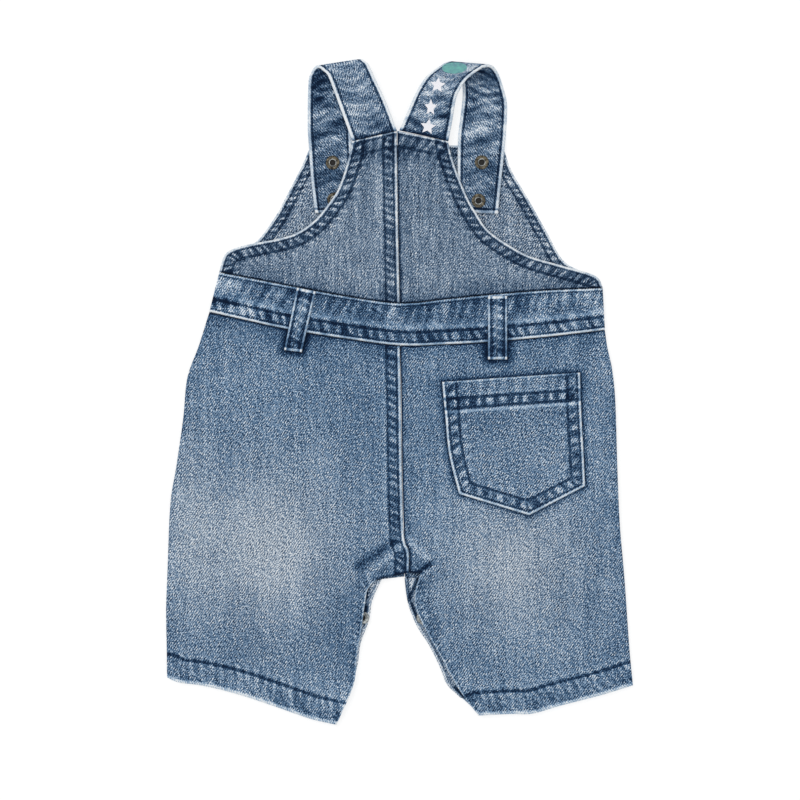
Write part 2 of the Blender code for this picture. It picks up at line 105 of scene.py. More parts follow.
FRONT_INSEAM_RIGHT = ((3.2, -119.8), (4.3, -129.9), (6.3, -139.0), (11.5, -151.3), (19.0, -163.0),
                      (25.9, -177.0), (30.3, -187.8), (37.4, -195.0), (50.0, -206.4))
FRONT_BIB_TOP = ((-57.2, 156.8), (0.0, 158.0), (66.4, 157.0))
FRONT_ARMHOLE_LEFT = ((-57.2, 156.8), (-62.8, 144.0), (-71.8, 126.4), (-80.2, 111.0),
                      (-91.4, 96.2), (-103.4, 89.8), (-112.4, 81.6), (-117.5, 66.3))
FRONT_ARMHOLE_RIGHT = ((66.4, 157.0), (71.8, 141.4), (81.6, 124.8), (94.2, 102.4), (105.2, 83.6),
                       (120.0, 75.0), (129.0, 68.0), (129.9, 60.3))
POCKET_TOP = ((27.2, 5.8), (70.0, 8.8), (115.5, 11.8))
POCKET_LEFT = ((27.2, 5.8), (29.1, -14.1), (31.7, -40.3), (38.1, -65.9))
POCKET_RIGHT = ((115.5, 11.8), (116.2, -12.0), (117.6, -38.0), (118.7, -60.8))
POCKET_POINT = (82.9, -79.4)
POCKET_STEPS = 40

# Where what lies beneath lifts the back: middle across, middle up, reach across, reach up, rise
RISES = (
    (-78.0, -60.0, 58.0, 90.0, 1.7),
    (82.0, -60.0, 58.0, 90.0, 1.7),
    (0.0, 10.0, 90.0, 75.0, 1.4),
    (0.0, 105.0, 60.0, 60.0, 2.0),
    (0.0, 164.0, 76.0, 26.0, 2.6),
    (-41.6, 124.0, 26.0, 38.0, 3.1),
    (50.2, 123.0, 26.0, 38.0, 3.1),
    (-23.0, -146.0, 20.0, 50.0, 2.4),
    (-34.0, -188.0, 20.0, 26.0, 1.9),
    (15.0, -146.0, 20.0, 40.0, 2.4),
    (40.0, -188.0, 23.0, 26.0, 2.2),
)
RISE_SHARPNESS = 4

# Soft folds of the back: start across and up, end across and up, width, height
FOLDS = (
    (-8.0, -100.0, -58.0, -142.0, 9.0, 0.9),
    (12.0, -106.0, 58.0, -134.0, 9.0, 0.8),
    (-120.0, -150.0, -84.0, -120.0, 11.0, 0.7),
    (-112.0, 22.0, -60.0, 2.0, 9.0, 0.7),
    (96.0, -150.0, 122.0, -104.0, 12.0, 0.8),
    (-70.0, 88.0, -24.0, 74.0, 9.0, 0.6),
    (36.0, 78.0, 92.0, 74.0, 8.0, 0.6),
)
# What part of a half wave each of them follows along its length: its start and its run
FOLD_START = 0.1
FOLD_RUN = 0.8

# A strap's sections: left across and up, right across and up, heights of its left and right edge
STRAP_LEFT_UP = (
    (-30.4, 160.4, -1.8, 166.8, HIGH_STRAP, HIGH_STRAP),
    (-34.2, 170.7, -5.6, 177.1, HIGH_STRAP, HIGH_STRAP),
    (-38.1, 181.4, -9.9, 187.8, HIGH_STRAP, 5.2),
    (-42.0, 192.1, -15.0, 198.5, 5.2, 5.9),
    (-45.8, 201.6, -19.4, 208.2, 5.5, 6.3),
)
STRAP_LEFT_DOWN = (
    (-58.2, 200.0, -31.6, 206.8, LOW_STRAP, LOW_STRAP),
    (-58.8, 187.2, -31.4, 191.4, LOW_STRAP, LOW_STRAP),
    (-58.9, 175.4, -31.0, 178.0, LOW_STRAP, LOW_STRAP),
    (-58.8, 167.0, -30.9, 168.5, 1.5, 1.5),
    (-58.3, 159.6, -30.7, 160.0, BIB_STRAP, BIB_STRAP),
    (-56.6, 135.7, -29.2, 135.7, BIB_STRAP, BIB_STRAP),
    (-54.1, 113.9, -27.2, 113.9, BIB_STRAP, BIB_STRAP),
)
STRAP_RIGHT_UP = (
    (0.0, 167.1, 31.4, 160.4, HIGH_STRAP, HIGH_STRAP),
    (4.6, 177.3, 34.0, 174.1, HIGH_STRAP, 5.4),
    (8.9, 187.3, 36.0, 186.2, 4.7, 6.6),
    (13.0, 195.2, 38.8, 192.8, 4.7, 8.0),
    (18.0, 201.8, 43.8, 199.7, 5.0, 9.0),
    (26.6, 208.1, 52.2, 205.8, 5.6, 8.8),
)
STRAP_RIGHT_DOWN = (
    (39.6, 204.0, 65.9, 196.5, LOW_STRAP, 1.4),
    (40.5, 190.4, 68.8, 185.4, LOW_STRAP, LOW_STRAP),
    (39.3, 177.4, 68.8, 174.3, LOW_STRAP, LOW_STRAP),
    (38.0, 167.6, 68.3, 166.5, 1.5, 1.5),
    (37.4, 159.4, 67.7, 159.0, BIB_STRAP, BIB_STRAP),
    (37.0, 135.0, 65.0, 133.1, BIB_STRAP, BIB_STRAP),
    (36.2, 114.6, 63.0, 113.5, BIB_STRAP, BIB_STRAP),
)
FOLD_STEPS = 6
# How far a strap's left and right edge reach out in its fold: across, up, across, up
FOLD_REACH_LEFT = (-1.6, 6.6, 0.6, 4.2)
FOLD_REACH_RIGHT = (1.0, 4.0, 1.4, 5.7)
# How far a strap's start laps over its gap to the bib, as a share of its first step
START_LAP = 0.45
STRAP_COLUMNS = 26

# Belt loops: top left, top right, bottom right and bottom left corners
BELT_LOOPS = {
    "belt_loop_left": ((-65.6, 66.2), (-53.6, 63.6), (-62.6, 24.8), (-73.8, 26.2)),
    "belt_loop_right": ((56.6, 60.6), (68.8, 60.8), (68.8, 20.2), (56.6, 20.2)),
}

# Shells: extra rows near an edge, as shares of the first step, and how a turned edge thins out
RIM_SHARES = (0.25, 0.6)
ROUND_REACH = 1.1
ROUND_START = 0.35
START_ROUND = 2.0
ABOVE_FLOOR = 0.02
# A panel that fills less of its box than this is measured along its slant
SLANTED_SHARE = 0.4
NARROWEST_CUT = 10.0

# Puckers: how much finer they are along a seam, how long they run out of it, how far each
# seed moves them, the most that they rise or sink, and how much they lighten the cloth on
# their crests as rubbed wear and darken it in their hollows as painted shade
PUCKER_FINE = 1.6
PUCKER_LONG = 3.2
PUCKER_STEP = 0.37
PUCKER_SEED = 11
RELIEF_LIMIT = 0.7
RELIEF_WEAR_AND_SHADE = 0.34

# Slow changes of a panel's thickness: length, height, and how far from the edge they grow
SWAY_ACROSS = 31.0
SWAY_UP = 37.0
SWAY_GROWS = 12.0
SWAY_SEED = 7

# How softly a turned hem ends, and a strap's fade at its fold
HEM_SOFTNESS = 0.6
FADE_SOFTNESS = 3.0

# Weave, in millimetres
TWILL_STEP = 1.35
TWILL_ACROSS = (0.82, -0.57, 0.0)
TWILL_ALONG = (0.57, 0.82, 0.0)
TWILL_BEND = 1.3
BEND_SCALE = 0.3
EDGE_WANDER = 0.7
ROW_REACH = 24.0
# Drawn-out noises: repeats in a millimetre across and along, offset, detail
DASHES = (1.5, 0.6, 0.0, 1.0)
SLUBS = (1.2, 0.10, 7.0, 2.0)
STREAKS = (0.22, 0.012, 3.0, 1.0)
# Even noises: repeats in a millimetre, detail
SPECKS = (1.6, 0.5)
CLOUDS = (0.055, 3.0)
# How much each part of the weave shows in the tone, and how far it stands proud
WEAVE = {"lines": (0.28, 0.05), "dashes": (2.1, 0.16), "specks": (2.2, 0.14)}
UPRIGHT = 0.4
STREAKS_SHOW = 0.5
CLOUDS_SHOW = 0.16
ROWS_RISE = 0.30
# The weave is calmer where the cloth is dark or worn white: slope, start, least
CALM_IN_DARK = (0.8, 0.62, 0.3)
CALM_ON_RIMS = (-1.7, 1.0, 0.2)

# Beads beside a seam: how far they wander, their even and uneven share, their deepest hollow,
# and how fast they change
BEAD_WANDER = 7.0
BEAD_REGULAR = 0.5
BEAD_UNEVEN = 1.3
BEAD_HOLLOW = -0.25
BEAD_SCALE = 0.9
BEAD_OFFSET = 3.0
BEAD_STRETCH = 2.0

# Blotches and clouds: seed, lean, length, tilt, height, offset across and up, share
LEG_CLOUDS = ((3, 0.0, 26.0, 0.0, 40.0, 5.0, 9.0, 0.03),)
FACING_CLOUDS = ((9, 0.0, 5.0, 0.0, 7.0, 0.0, 0.0, 0.08),)
BAND_CLOUDS = ((21, 0.75, 7.0, -0.4, 26.0, 0.0, 0.0, 0.13),
               (22, -0.5, 4.6, 0.0, 13.0, 0.0, 0.0, 0.10))
STRAP_CLOUDS = ((0, 0.25, 5.0, 0.0, 12.0, 0.0, 0.5, 0.85),
                (1, -0.3, 3.2, 0.0, 7.5, 0.0, 0.0, 0.5))

# Straps: how far blotches stand proud, how wide their sides stay plain, how much of a blotch
# shows there, the shadow at their start, and how grey they are
BLOTCH_RISE = 0.13
PLAIN_SIDE = 4.5
SIDE_SHOW = 0.25
START_SHADOW = ((0.0, 1.5, -0.60),)
STRAP_WASH = 0.5
# Each strap's seed, then its shift of tone and the strength of its blotches, each given
# before and after the fold
STRAP_LEFT_LOOK = (31, (0.03, -0.10), (0.24, 0.35))
STRAP_RIGHT_LOOK = (47, (-0.06, -0.08), (0.44, 0.35))
# A strap where it comes out of its fold, with painted shade in arcs: shade, arcs and their step, bow,
# middle and reach
FOLD_SHADE = -0.14
FOLD_ARCS = 0.20
FOLD_ARC_STEP = 6.0
FOLD_ARC_BOW = 0.03
FOLD_SHADE_AT = 9.0
FOLD_SHADE_REACH = 9.0
# The fold's rubbed crest and the painted shade beside it: middle, reach, shift of tone
FOLD_CREST_AND_SHADE = ((0.0, 1.1, 0.26), (3.2, 1.3, -0.20))

# Denim from unfaded to worn white, as shares of tone with red, green and blue of 255
DEEP = ((0.0, 2, 22, 48), (0.12, 14, 44, 76), (0.27, 44, 76, 108), (0.5, 88, 119, 151),
        (0.7, 130, 158, 186), (0.88, 184, 203, 220), (1.0, 228, 234, 239))
WASHED = ((0.0, 4, 24, 48), (0.12, 22, 48, 76), (0.27, 56, 80, 106), (0.5, 102, 123, 146),
          (0.7, 143, 159, 177), (0.88, 192, 203, 214), (1.0, 230, 234, 237))

# Stitched rows and worn edges, and the painted shade beside raised edges and seams: distance from the edge
# in millimetres, shift of tone
ARMHOLE_ROWS = ((0.0, 0.44), (1.1, 0.46), (1.5, -0.06), (1.9, -0.36), (2.5, -0.32), (3.0, -0.16),
                (6.7, -0.18), (7.3, -0.40), (8.4, -0.42), (9.0, -0.06), (12.0, 0.0))
ARMHOLE_BEADS = ((0.0, 0.06), (2.4, 0.10), (3.4, 0.62), (6.4, 0.62), (7.2, 0.16), (9.0, 0.34),
                 (15.0, 0.0))
BIB_TOP_ROWS = ((0.0, 0.10), (0.3, 0.40), (1.0, 0.40), (1.4, -0.12), (1.8, -0.36), (2.6, -0.28),
                (3.4, -0.12), (8.4, -0.12), (9.0, -0.36), (10.2, -0.36), (11.0, -0.14),
                (16.0, -0.07), (22.0, 0.0))
BIB_TOP_BEADS = ((0.0, 0.14), (2.0, 0.2), (3.0, 0.38), (8.4, 0.38), (9.4, 0.2), (11.0, 0.36),
                 (20.0, 0.0))
RIDGE_ROWS = ((0.0, 0.38), (1.3, 0.40), (1.7, -0.10), (2.2, -0.38), (2.9, -0.34), (3.4, -0.14),
              (7.6, -0.16), (8.2, -0.34), (9.2, -0.32), (9.8, 0.02), (10.8, 0.10), (12.4, 0.04),
              (15.0, 0.0))
RIDGE_BEADS = ((0.0, 0.05), (2.8, 0.12), (3.4, 0.44), (7.4, 0.44), (8.4, 0.14), (12.0, 0.08),
               (17.0, 0.0))
# Painted shadow on the panel that lies beside the centre seam's ridge
BESIDE_RIDGE_SHADOW = ((0.0, -0.44), (0.8, -0.40), (1.4, -0.10), (3.0, -0.03), (8.0, 0.0))
# The waistband's top edge starts with a thin painted shadow in its seam, then its worn rim and row
BAND_TOP_ROWS = ((0.0, -0.30), (0.25, 0.05), (0.5, 0.36), (1.2, 0.30), (1.6, -0.20), (2.0, -0.32),
                 (2.8, -0.10), (6.0, 0.0))
BAND_TOP_BEADS = ((0.0, 0.1), (2.6, 0.14), (4.0, 0.36), (9.0, 0.30), (13.0, 0.12), (18.0, 0.0))
BAND_BOTTOM_ROWS = ((0.0, 0.52), (1.1, 0.54), (1.5, 0.0), (1.9, -0.32), (2.6, -0.26), (3.2, -0.07),
                    (7.4, -0.07), (8.0, -0.36), (9.2, -0.36), (9.9, 0.04), (11.2, 0.26), (13.0, 0.12),
                    (16.0, 0.0))
BAND_BOTTOM_BEADS = ((0.0, 0.06), (2.6, 0.14), (3.4, 0.52), (7.2, 0.52), (8.2, 0.12), (10.0, 0.26),
                     (14.0, 0.0))
# Painted shadow on the leg and on the bib where they meet the raised waistband
UNDER_BAND_SHADOW = ((0.0, -0.46), (0.5, -0.42), (1.3, -0.16), (4.0, -0.07), (12.0, 0.0))
OVER_BAND_SHADOW = ((0.0, -0.46), (0.5, -0.44), (1.1, -0.14), (5.0, -0.07), (12.0, 0.0))
SIDE_ROWS = ((0.0, -0.10), (1.2, -0.04), (4.0, 0.0))
CROTCH_ROWS = ((0.0, -0.34), (0.8, -0.36), (1.6, -0.10), (2.6, 0.06), (6.0, 0.0))
HEM_ROWS = ((0.0, 0.42), (1.5, 0.40), (2.2, 0.14), (2.8, -0.06), (6.0, -0.05), (12.6, 0.0), (13.6, 0.04),
            (14.3, -0.30), (15.0, -0.42), (15.8, -0.34), (16.6, 0.0), (18.0, 0.06), (21.0, 0.0))
HEM_BEADS = ((0.0, 0.0), (2.6, 0.10), (6.0, 0.16), (10.0, 0.22), (13.4, 0.46), (14.6, 0.26),
             (16.0, 0.3), (20.0, 0.0))
HEM_TICKS = ((0.0, 0.20), (1.2, 0.34), (3.2, 0.24), (5.0, 0.0))
INSEAM_ROWS = ((0.0, 0.30), (0.7, 0.22), (1.2, -0.16), (2.2, -0.08), (5.0, 0.0))
INSEAM_BEADS = ((0.0, 0.2), (4.0, 0.24), (9.0, 0.0))
POCKET_ROWS = ((0.0, 0.46), (1.1, 0.46), (1.5, -0.04), (1.9, -0.34), (2.6, -0.26), (3.2, -0.10),
               (7.6, -0.10), (8.2, -0.34), (9.3, -0.34), (9.9, 0.0), (11.0, 0.04), (14.0, 0.0))
POCKET_BEADS = ((0.0, 0.10), (2.6, 0.06), (4.2, 0.62), (6.6, 0.62), (8.0, 0.06), (10.0, 0.10),
                (11.6, 0.30), (16.0, 0.0))
POCKET_TOP_ROWS = ((0.0, 0.34), (0.8, 0.30), (1.4, -0.05), (3.0, 0.0), (8.2, 0.02), (9.4, 0.12),
                   (10.0, -0.06), (10.6, -0.38), (11.7, -0.34), (12.4, -0.10), (16.2, -0.10),
                   (16.8, -0.36), (17.8, -0.36), (18.4, 0.02), (19.0, 0.34), (20.2, 0.30),
                   (21.0, 0.0))
POCKET_TOP_BEADS = ((0.0, 0.2), (9.0, 0.2), (11.6, 0.1), (13.0, 0.66), (15.6, 0.66), (17.0, 0.06),
                    (22.0, 0.0))
# Painted shadow on the leg round the raised pocket
ROUND_POCKET_SHADOW = ((0.0, -0.38), (1.0, -0.34), (2.2, -0.12), (5.0, 0.0))
LOOP_SIDE_ROWS = ((0.0, 0.46), (1.0, 0.44), (1.4, -0.16), (1.9, -0.40), (2.6, -0.16), (4.0, 0.14),
                  (6.0, 0.20))
LOOP_SIDE_BEADS = ((0.0, 0.10), (3.0, 0.34), (6.0, 0.6))
LOOP_END_ROWS = ((0.0, 0.62), (1.4, 0.58), (2.0, -0.20), (3.0, -0.24), (10.0, 0.0))
STRAP_ROWS = ((0.0, 0.50), (1.6, 0.54), (1.9, 0.16), (2.2, -0.22), (2.7, -0.42), (3.2, -0.36),
              (3.7, -0.02), (6.0, 0.0))
STRAP_BEADS = ((0.0, 0.0), (2.0, 0.1), (4.0, 0.24), (12.0, 0.24))
FRONT_ARMHOLE_ROWS = ((0.0, 0.40), (1.0, 0.40), (1.5, -0.08), (1.9, -0.38), (2.6, -0.30), (3.2, -0.14),
                      (5.4, -0.16), (6.0, -0.38), (7.0, -0.38), (7.6, -0.06), (11.0, 0.0))
FRONT_ARMHOLE_BEADS = ((0.0, 0.06), (2.4, 0.14), (3.2, 0.62), (5.4, 0.62), (6.2, 0.14), (8.0, 0.34),
                       (15.0, 0.0))
FACING_ROWS = ((0.0, -0.10), (0.5, 0.20), (1.3, 0.16), (1.8, -0.24), (2.4, -0.10), (4.0, 0.0))

# Faded patches: middle across and up, reach across and up, shift of tone
LEG_FADES = (
    (-84.0, -100.0, 46.0, 52.0, 0.25),
    (-136.0, -84.0, 18.0, 62.0, 0.12),
    (74.0, -111.0, 44.0, 42.0, 0.21),
    (30.0, -70.0, 40.0, 50.0, 0.05),
    (4.0, -116.0, 22.0, 12.0, -0.16),
    (-60.0, -190.0, 90.0, 12.0, 0.05),
    (-100.0, -160.0, 36.0, 16.0, -0.05),
    (-34.0, -146.0, 15.0, 40.0, -0.08),
    (-100.0, 10.0, 24.0, 22.0, 0.04),
    (132.0, -20.0, 20.0, 60.0, 0.05),
    (110.0, -170.0, 50.0, 24.0, 0.05),
)
BIB_FADES = (
    (-40.0, 85.0, 40.0, 30.0, 0.03),
    (0.0, 157.0, 40.0, 10.0, -0.10),
    (-80.0, 82.0, 30.0, 14.0, -0.03),
)
POCKET_SHADES = (
    (34.0, 2.0, 9.0, 7.0, -0.16),
    (110.0, 7.0, 9.0, 6.0, -0.14),
    (50.0, -14.0, 14.0, 12.0, -0.08),
    (86.0, -44.0, 24.0, 18.0, 0.05),
    (70.0, -30.0, 60.0, 40.0, -0.03),
    (102.0, -12.0, 12.0, 12.0, -0.05),
)
BAND_SHADES = (
    (-117.0, 69.0, 18.0, 4.2, 0.34),
    (-114.0, 58.0, 20.0, 3.0, -0.26),
    (-112.0, 51.5, 26.0, 2.6, 0.30),
    (-92.0, 58.0, 14.0, 6.0, 0.08),
    (-26.0, 46.0, 26.0, 12.0, -0.08),
    (112.0, 62.0, 18.0, 5.0, 0.12),
    (-74.0, 62.0, 5.0, 10.0, -0.16),
    (-46.0, 58.0, 5.0, 10.0, -0.10),
    (50.0, 52.0, 5.0, 10.0, -0.12),
    (76.0, 52.0, 5.0, 10.0, -0.12),
)
# How many of the legs' fades are grey, how grey they are, and how grey the bib is
GREY_FADES = 3
LEG_WASH = 4.0
BIB_WASH = 0.8

# Bands of fade, along one direction: middle, reach, shift of tone
BAND_FADE = ((90.0, 50.0, 0.06),)
LOOP_FADES = ((50.0, 12.0, 0.16), (28.0, 6.0, -0.10))

# The painted shadow beside a belt loop: reach, shift of tone, and where it grows weaker towards the top
LOOP_SHADOW_REACH = 3.2
LOOP_SHADOW = -0.46
LOOP_SHADOW_TOP = 50.0
LOOP_SHADOW_GROWS = 14.0
LOOP_SHADOW_LEAST = 0.2

# Creases that run out of the crotch, painted as lines of shade and highlight, with a painted shadow where
# the back's crotch edge lifts: start, end, width, shift of tone
CREASES = (
    (-3.0, -96.0, -27.0, -112.0, 2.6, -0.30),
    (-1.0, -101.0, -20.0, -117.0, 2.2, 0.22),
    (4.0, -94.0, 19.0, -108.0, 2.2, 0.20),
    (13.0, -115.5, 20.0, -110.0, 1.3, -0.60),
    (14.0, -118.0, 22.0, -113.0, 1.6, 0.22),
    (-17.5, -122.0, -24.0, -140.0, 2.6, 0.14),
    (14.0, -126.0, 24.0, -152.0, 3.0, -0.10),
)
# The facings' folds, painted as lines of shade and highlight, with painted shadow beside the back legs'
# edges: start, end, width, shift of tone
FACING_CREASES = (
    (13.0, -117.0, 5.6, -134.0, 1.2, -0.80),
    (4.0, -121.0, 5.0, -130.0, 1.6, -0.36),
    (9.2, -120.0, 6.6, -129.0, 1.0, 0.36),
    (7.6, -136.0, 12.0, -147.0, 1.2, -0.60),
    (20.0, -160.0, 33.0, -186.0, 0.9, -0.28),
    (36.0, -190.0, 42.0, -197.0, 1.5, -0.70),
    (-20.6, -127.0, -21.8, -132.0, 1.3, -0.90),
    (-21.8, -138.5, -22.0, -140.5, 1.4, -0.90),
    (-21.4, -133.0, -22.6, -150.0, 1.0, -0.30),
)

# Sewing, in millimetres: a stitch that would stretch over a step is left out
STITCH_START = 0.4
STITCH_PITCH = 2.7
STITCH_LENGTH = 1.8
STITCH_STRETCH = 1.5
CORNER_CLEAR = 0.12
STRAP_ROW = 2.7
# Sections of a strap: the first sewn one, the one where it turns over, and those left at its end
SEWN_FROM = 2
FOLD_ROW = 66
SEWN_TO = -4
# Thread, in metres
THREAD_WIDE = 0.00052
THREAD_HIGH = 0.00034
THREAD_LIFT = 0.00005
# How fast the thread's fade changes, and its tone
THREAD_CLOUDS = 160.0
THREAD_TONE = 0.16

# Prints on the right strap: middle across and up, half sizes, tilt
STARS = (
    (24.4, 195.3, 5.0, 5.0, -0.12),
    (19.9, 181.2, 4.1, 5.5, -0.05),
    (18.2, 168.9, 5.2, 5.1, -0.16),
)
STAR_WAIST = 0.48
OVAL = (35.0, 206.2, 8.0, 3.7)
OVAL_POINTS = 28
# Prints, in metres
PRINT_LIFT = 0.00006
PRINT_THICK = 0.00008
PRINT_SEARCH = 0.009
# How often a print's edges are cut, so that it follows the cloth
PRINT_CUTS = 5
# Ink: its colour of 255 and how worn it is, and what shows through
STAR_INK = ((238, 238, 243), 0.5)
OVAL_INK = ((112, 184, 172), 1.3)
WORN_DENIM = (96, 118, 146)
# How fine its grain and its clouds are, how much of it is left, and how far it stands proud
INK_GRAIN = 1500.0
INK_CLOUDS = 260.0
INK_LEFT = 0.3
INK_BUMP = 0.0002

# Snap backs: middle across and up, radius, height of the face that they sit on
SNAPS = {
    "strap_snap_left_high": (-42.8, 146.2, 4.5, BIB_STRAP + STRAP_CLOTH / 2),
    "strap_snap_left_low": (-41.8, 122.6, 4.5, BIB_STRAP + STRAP_CLOTH / 2),
    "strap_snap_right_high": (52.6, 146.4, 4.5, BIB_STRAP + STRAP_CLOTH / 2),
    "strap_snap_right_low": (50.6, 121.8, 4.5, BIB_STRAP + STRAP_CLOTH / 2),
    "inseam_snap_left": (-23.4, -145.3, 4.0, CLOTH + GAP + TAPE_CLOTH),
    "inseam_snap_right": (14.8, -145.3, 4.0, CLOTH + GAP + TAPE_CLOTH),
}
# A snap's steps inwards for a radius of 1, and how far each climbs in millimetres
SNAP_STEPS = ((0.04, 0.20), (0.08, 0.16), (0.10, 0.05), (0.08, -0.05), (0.07, -0.14), (0.09, 0.0),
              (0.10, 0.16), (0.09, 0.06), (0.05, -0.14), (0.03, -0.30), (0.06, 0.0))
# Out to these radii the socket is painted black as its shade, and the collar pale as a highlight
SNAP_SHADED_SOCKET = 0.45
SNAP_HIGHLIGHT_COLLAR = 0.56
SNAP_SIDES = 40
SNAP_BASE = 0.05
SNAP_SMOOTH = 50.0
# Metal, darkened and rubbed, as colours of 255: the inseam snaps' pale metal also serves as the painted
# highlight on every collar, and the black as the painted shade in every socket
BRASS = ((26, 25, 22), (116, 108, 90))
PALE_BRASS_AND_HIGHLIGHT = ((84, 90, 94), (186, 190, 188))
SOCKET_SHADE_BLACK = (0.008, 0.007, 0.006, 1.0)
# How fine its patina is, where it is dark and bright, and how far it stands proud
PATINA_SCALE = 620.0
PATINA_DARK = 0.36
PATINA_BRIGHT = 0.66
PATINA_BUMP = 0.0001

# Light and camera, in metres and watts
WORLD_LIGHT = 0.62
FLOOR_GLOW = 0.70
LAMPS = (
    ("key_light", (-0.9, 1.0, 1.6), 1.4, 16.0),
    ("fill_light", (0.9, -0.7, 1.9), 1.8, 8.0),
)
VIEW_CENTRE = (0.0003, -0.0051)
VIEW_WIDTH = 0.512
VIEW_LIFT = 0.004
FLOOR_SIZE = 6.0
FLOOR_DROP = 0.0002
FLOOR_GREY = (0.36, 0.36, 0.36, 1.0)
WHITE = (1.0, 1.0, 1.0, 1.0)
# Width of the sensor and length of the lens, in millimetres
SENSOR = 36.0
LENS = 100.0


def smooth_curve(points):
    """Closely spaced points on a smooth curve through the given ones."""
    given = np.array(points, float)
    ends = np.vstack([2 * given[0] - given[1], given, 2 * given[-1] - given[-2]])
    dense = []
    for i in range(1, len(ends) - 2):
        before, start, end, after = ends[i - 1:i + 3]
        for t in np.linspace(0.0, 1.0, CURVE_SAMPLES, endpoint=False):
            dense.append(0.5 * (2 * start + (end - before) * t
                                + (2 * before - 5 * start + 4 * end - after) * t ** 2
                                + (3 * start - before - 3 * end + after) * t ** 3))
    dense.append(given[-1])
    return np.array(dense)


def spaced(dense, steps):
    """Evenly spaced points along a closely sampled curve."""
    lengths = np.linalg.norm(np.diff(dense, axis=0), axis=1)
    along = np.concatenate([[0.0], np.cumsum(lengths)])
    where = np.linspace(0.0, along[-1], steps + 1)
    return np.column_stack([np.interp(where, along, dense[:, axis]) for axis in (0, 1)])


def run(points, steps):
    """Evenly spaced points along the smooth curve through a row of points."""
    return spaced(smooth_curve(points), steps)


def parted(points, middle, steps, up=0.0):
    """A shared seam's left and right halves, moved up and parted in the middle by the gap."""
    dense = smooth_curve(points) + np.array((0.0, up))
    cut = middle * CURVE_SAMPLES
    left = spaced(dense[:cut + 1], steps)
    right = spaced(dense[cut:], steps)
    left[-1, 0] -= SEAM
    right[0, 0] += SEAM
    return {-1: left, 1: right}


def whole(halves):
    """A shared seam's two halves as one run."""
    return np.vstack([halves[-1][:-1], halves[1]])


def joined(*runs):
    """Runs that follow each other, with each shared corner kept once."""
    return np.vstack([runs[0]] + [later[1:] for later in runs[1:]])


def moved(points, across=0.0, up=0.0):
    """The same points, shifted."""
    return tuple((x + across, y + up) for x, y in points)


def patch(top, bottom, left, right):
    """Points of a panel, filled in between its four edges."""
    columns = np.linspace(0.0, 1.0, len(top))[None, :, None]
    rows = np.linspace(0.0, 1.0, len(left))[:, None, None]
    across = (1 - rows) * top[None] + rows * bottom[None]
    down = (1 - columns) * left[:, None] + columns * right[:, None]
    corners = ((1 - rows) * ((1 - columns) * top[0] + columns * top[-1])
               + rows * ((1 - columns) * bottom[0] + columns * bottom[-1]))
    return across + down - corners


def side_patch(side, top, bottom, outer, inner):
    """A left or right panel, whose inner edge lies towards the garment's middle."""
    if side < 0:
        return patch(top, bottom, outer, inner)
    return patch(top, bottom, inner, outer)


def ends_of(side, points):
    """A half seam's outer and inner ends."""
    if side < 0:
        return tuple(points[0]), tuple(points[-1])
    return tuple(points[-1]), tuple(points[0])


def crossing(side, outer, inner, steps):
    """A straight edge from left to right between a panel's outer and inner corners."""
    if side < 0:
        return np.linspace(outer, inner, steps + 1)
    return np.linspace(inner, outer, steps + 1)


def swell(away, reach):
    """A soft bump, 1 in its middle and a third of that at its reach."""
    return np.exp(-(away / reach) ** 2)


def mound(x, y, middle_x, middle_y, reach_x, reach_y):
    """A soft mound, 1 in its middle."""
    return np.exp(-(((x - middle_x) / reach_x) ** 2 + ((y - middle_y) / reach_y) ** 2))


def step_up(places, softness):
    """A soft step from 0 to 1 where a value passes zero."""
    return 1.0 / (1.0 + np.exp(-places / softness))


def beside(x, y, start, end):
    """How far each place lies from a straight line, and what share of the way along it."""
    step_x = end[0] - start[0]
    step_y = end[1] - start[1]
    t = ((x - start[0]) * step_x + (y - start[1]) * step_y) / math.hypot(step_x, step_y) ** 2
    t = np.clip(t, 0.0, 1.0)
    return np.hypot(x - start[0] - t * step_x, y - start[1] - t * step_y), t


def rise_of_back(x, y):
    """How high the underside of the back lies over the front at each place."""
    heights = sum((rise * mound(x, y, *where)) ** RISE_SHARPNESS for *where, rise in RISES)
    return CLOTH + GAP + heights ** (1.0 / RISE_SHARPNESS)


def fold_height(x, y):
    """Height of the soft folds at each place."""
    height = 0.0
    for start_x, start_y, end_x, end_y, width, crest in FOLDS:
        away, t = beside(x, y, (start_x, start_y), (end_x, end_y))
        height = height + crest * np.sin(math.pi * (FOLD_START + FOLD_RUN * t)) * swell(away, width)
    return height


def back_height(x, y):
    """Underside of the back panels."""
    return rise_of_back(x, y) + fold_height(x, y)


def flat_height(x, y):
    """Underside of the front panels, which rest on the surface below."""
    return np.zeros_like(x)


def tape_height(x, y):
    """Underside of the facings, which lie on the front panels."""
    return np.full_like(x, CLOTH + GAP)


def pocket_height(x, y):
    """Underside of the pocket, which follows the leg's face."""
    return back_height(x, y) + CLOTH + LAID_GAP


def loop_height(x, y):
    """Underside of the belt loops, which follow the waistband's face."""
    return back_height(x, y) + BAND_CLOTH + LAID_GAP


def fold_over(start, end, reach):
    """Sections of a strap that rolls over from one run to the next."""
    first = np.array(start)
    last = np.array(end)
    sections = []
    for step in range(1, FOLD_STEPS):
        turn = math.pi * step / FOLD_STEPS
        section = first + (last - first) * step / FOLD_STEPS
        bulge = math.sin(turn)
        section[0:4] += np.array(reach) * bulge
        section[4:6] = (first[4:6] + last[4:6]) / 2 + (first[4:6] - last[4:6]) / 2 * math.cos(turn)
        sections.append(tuple(section))
    return sections


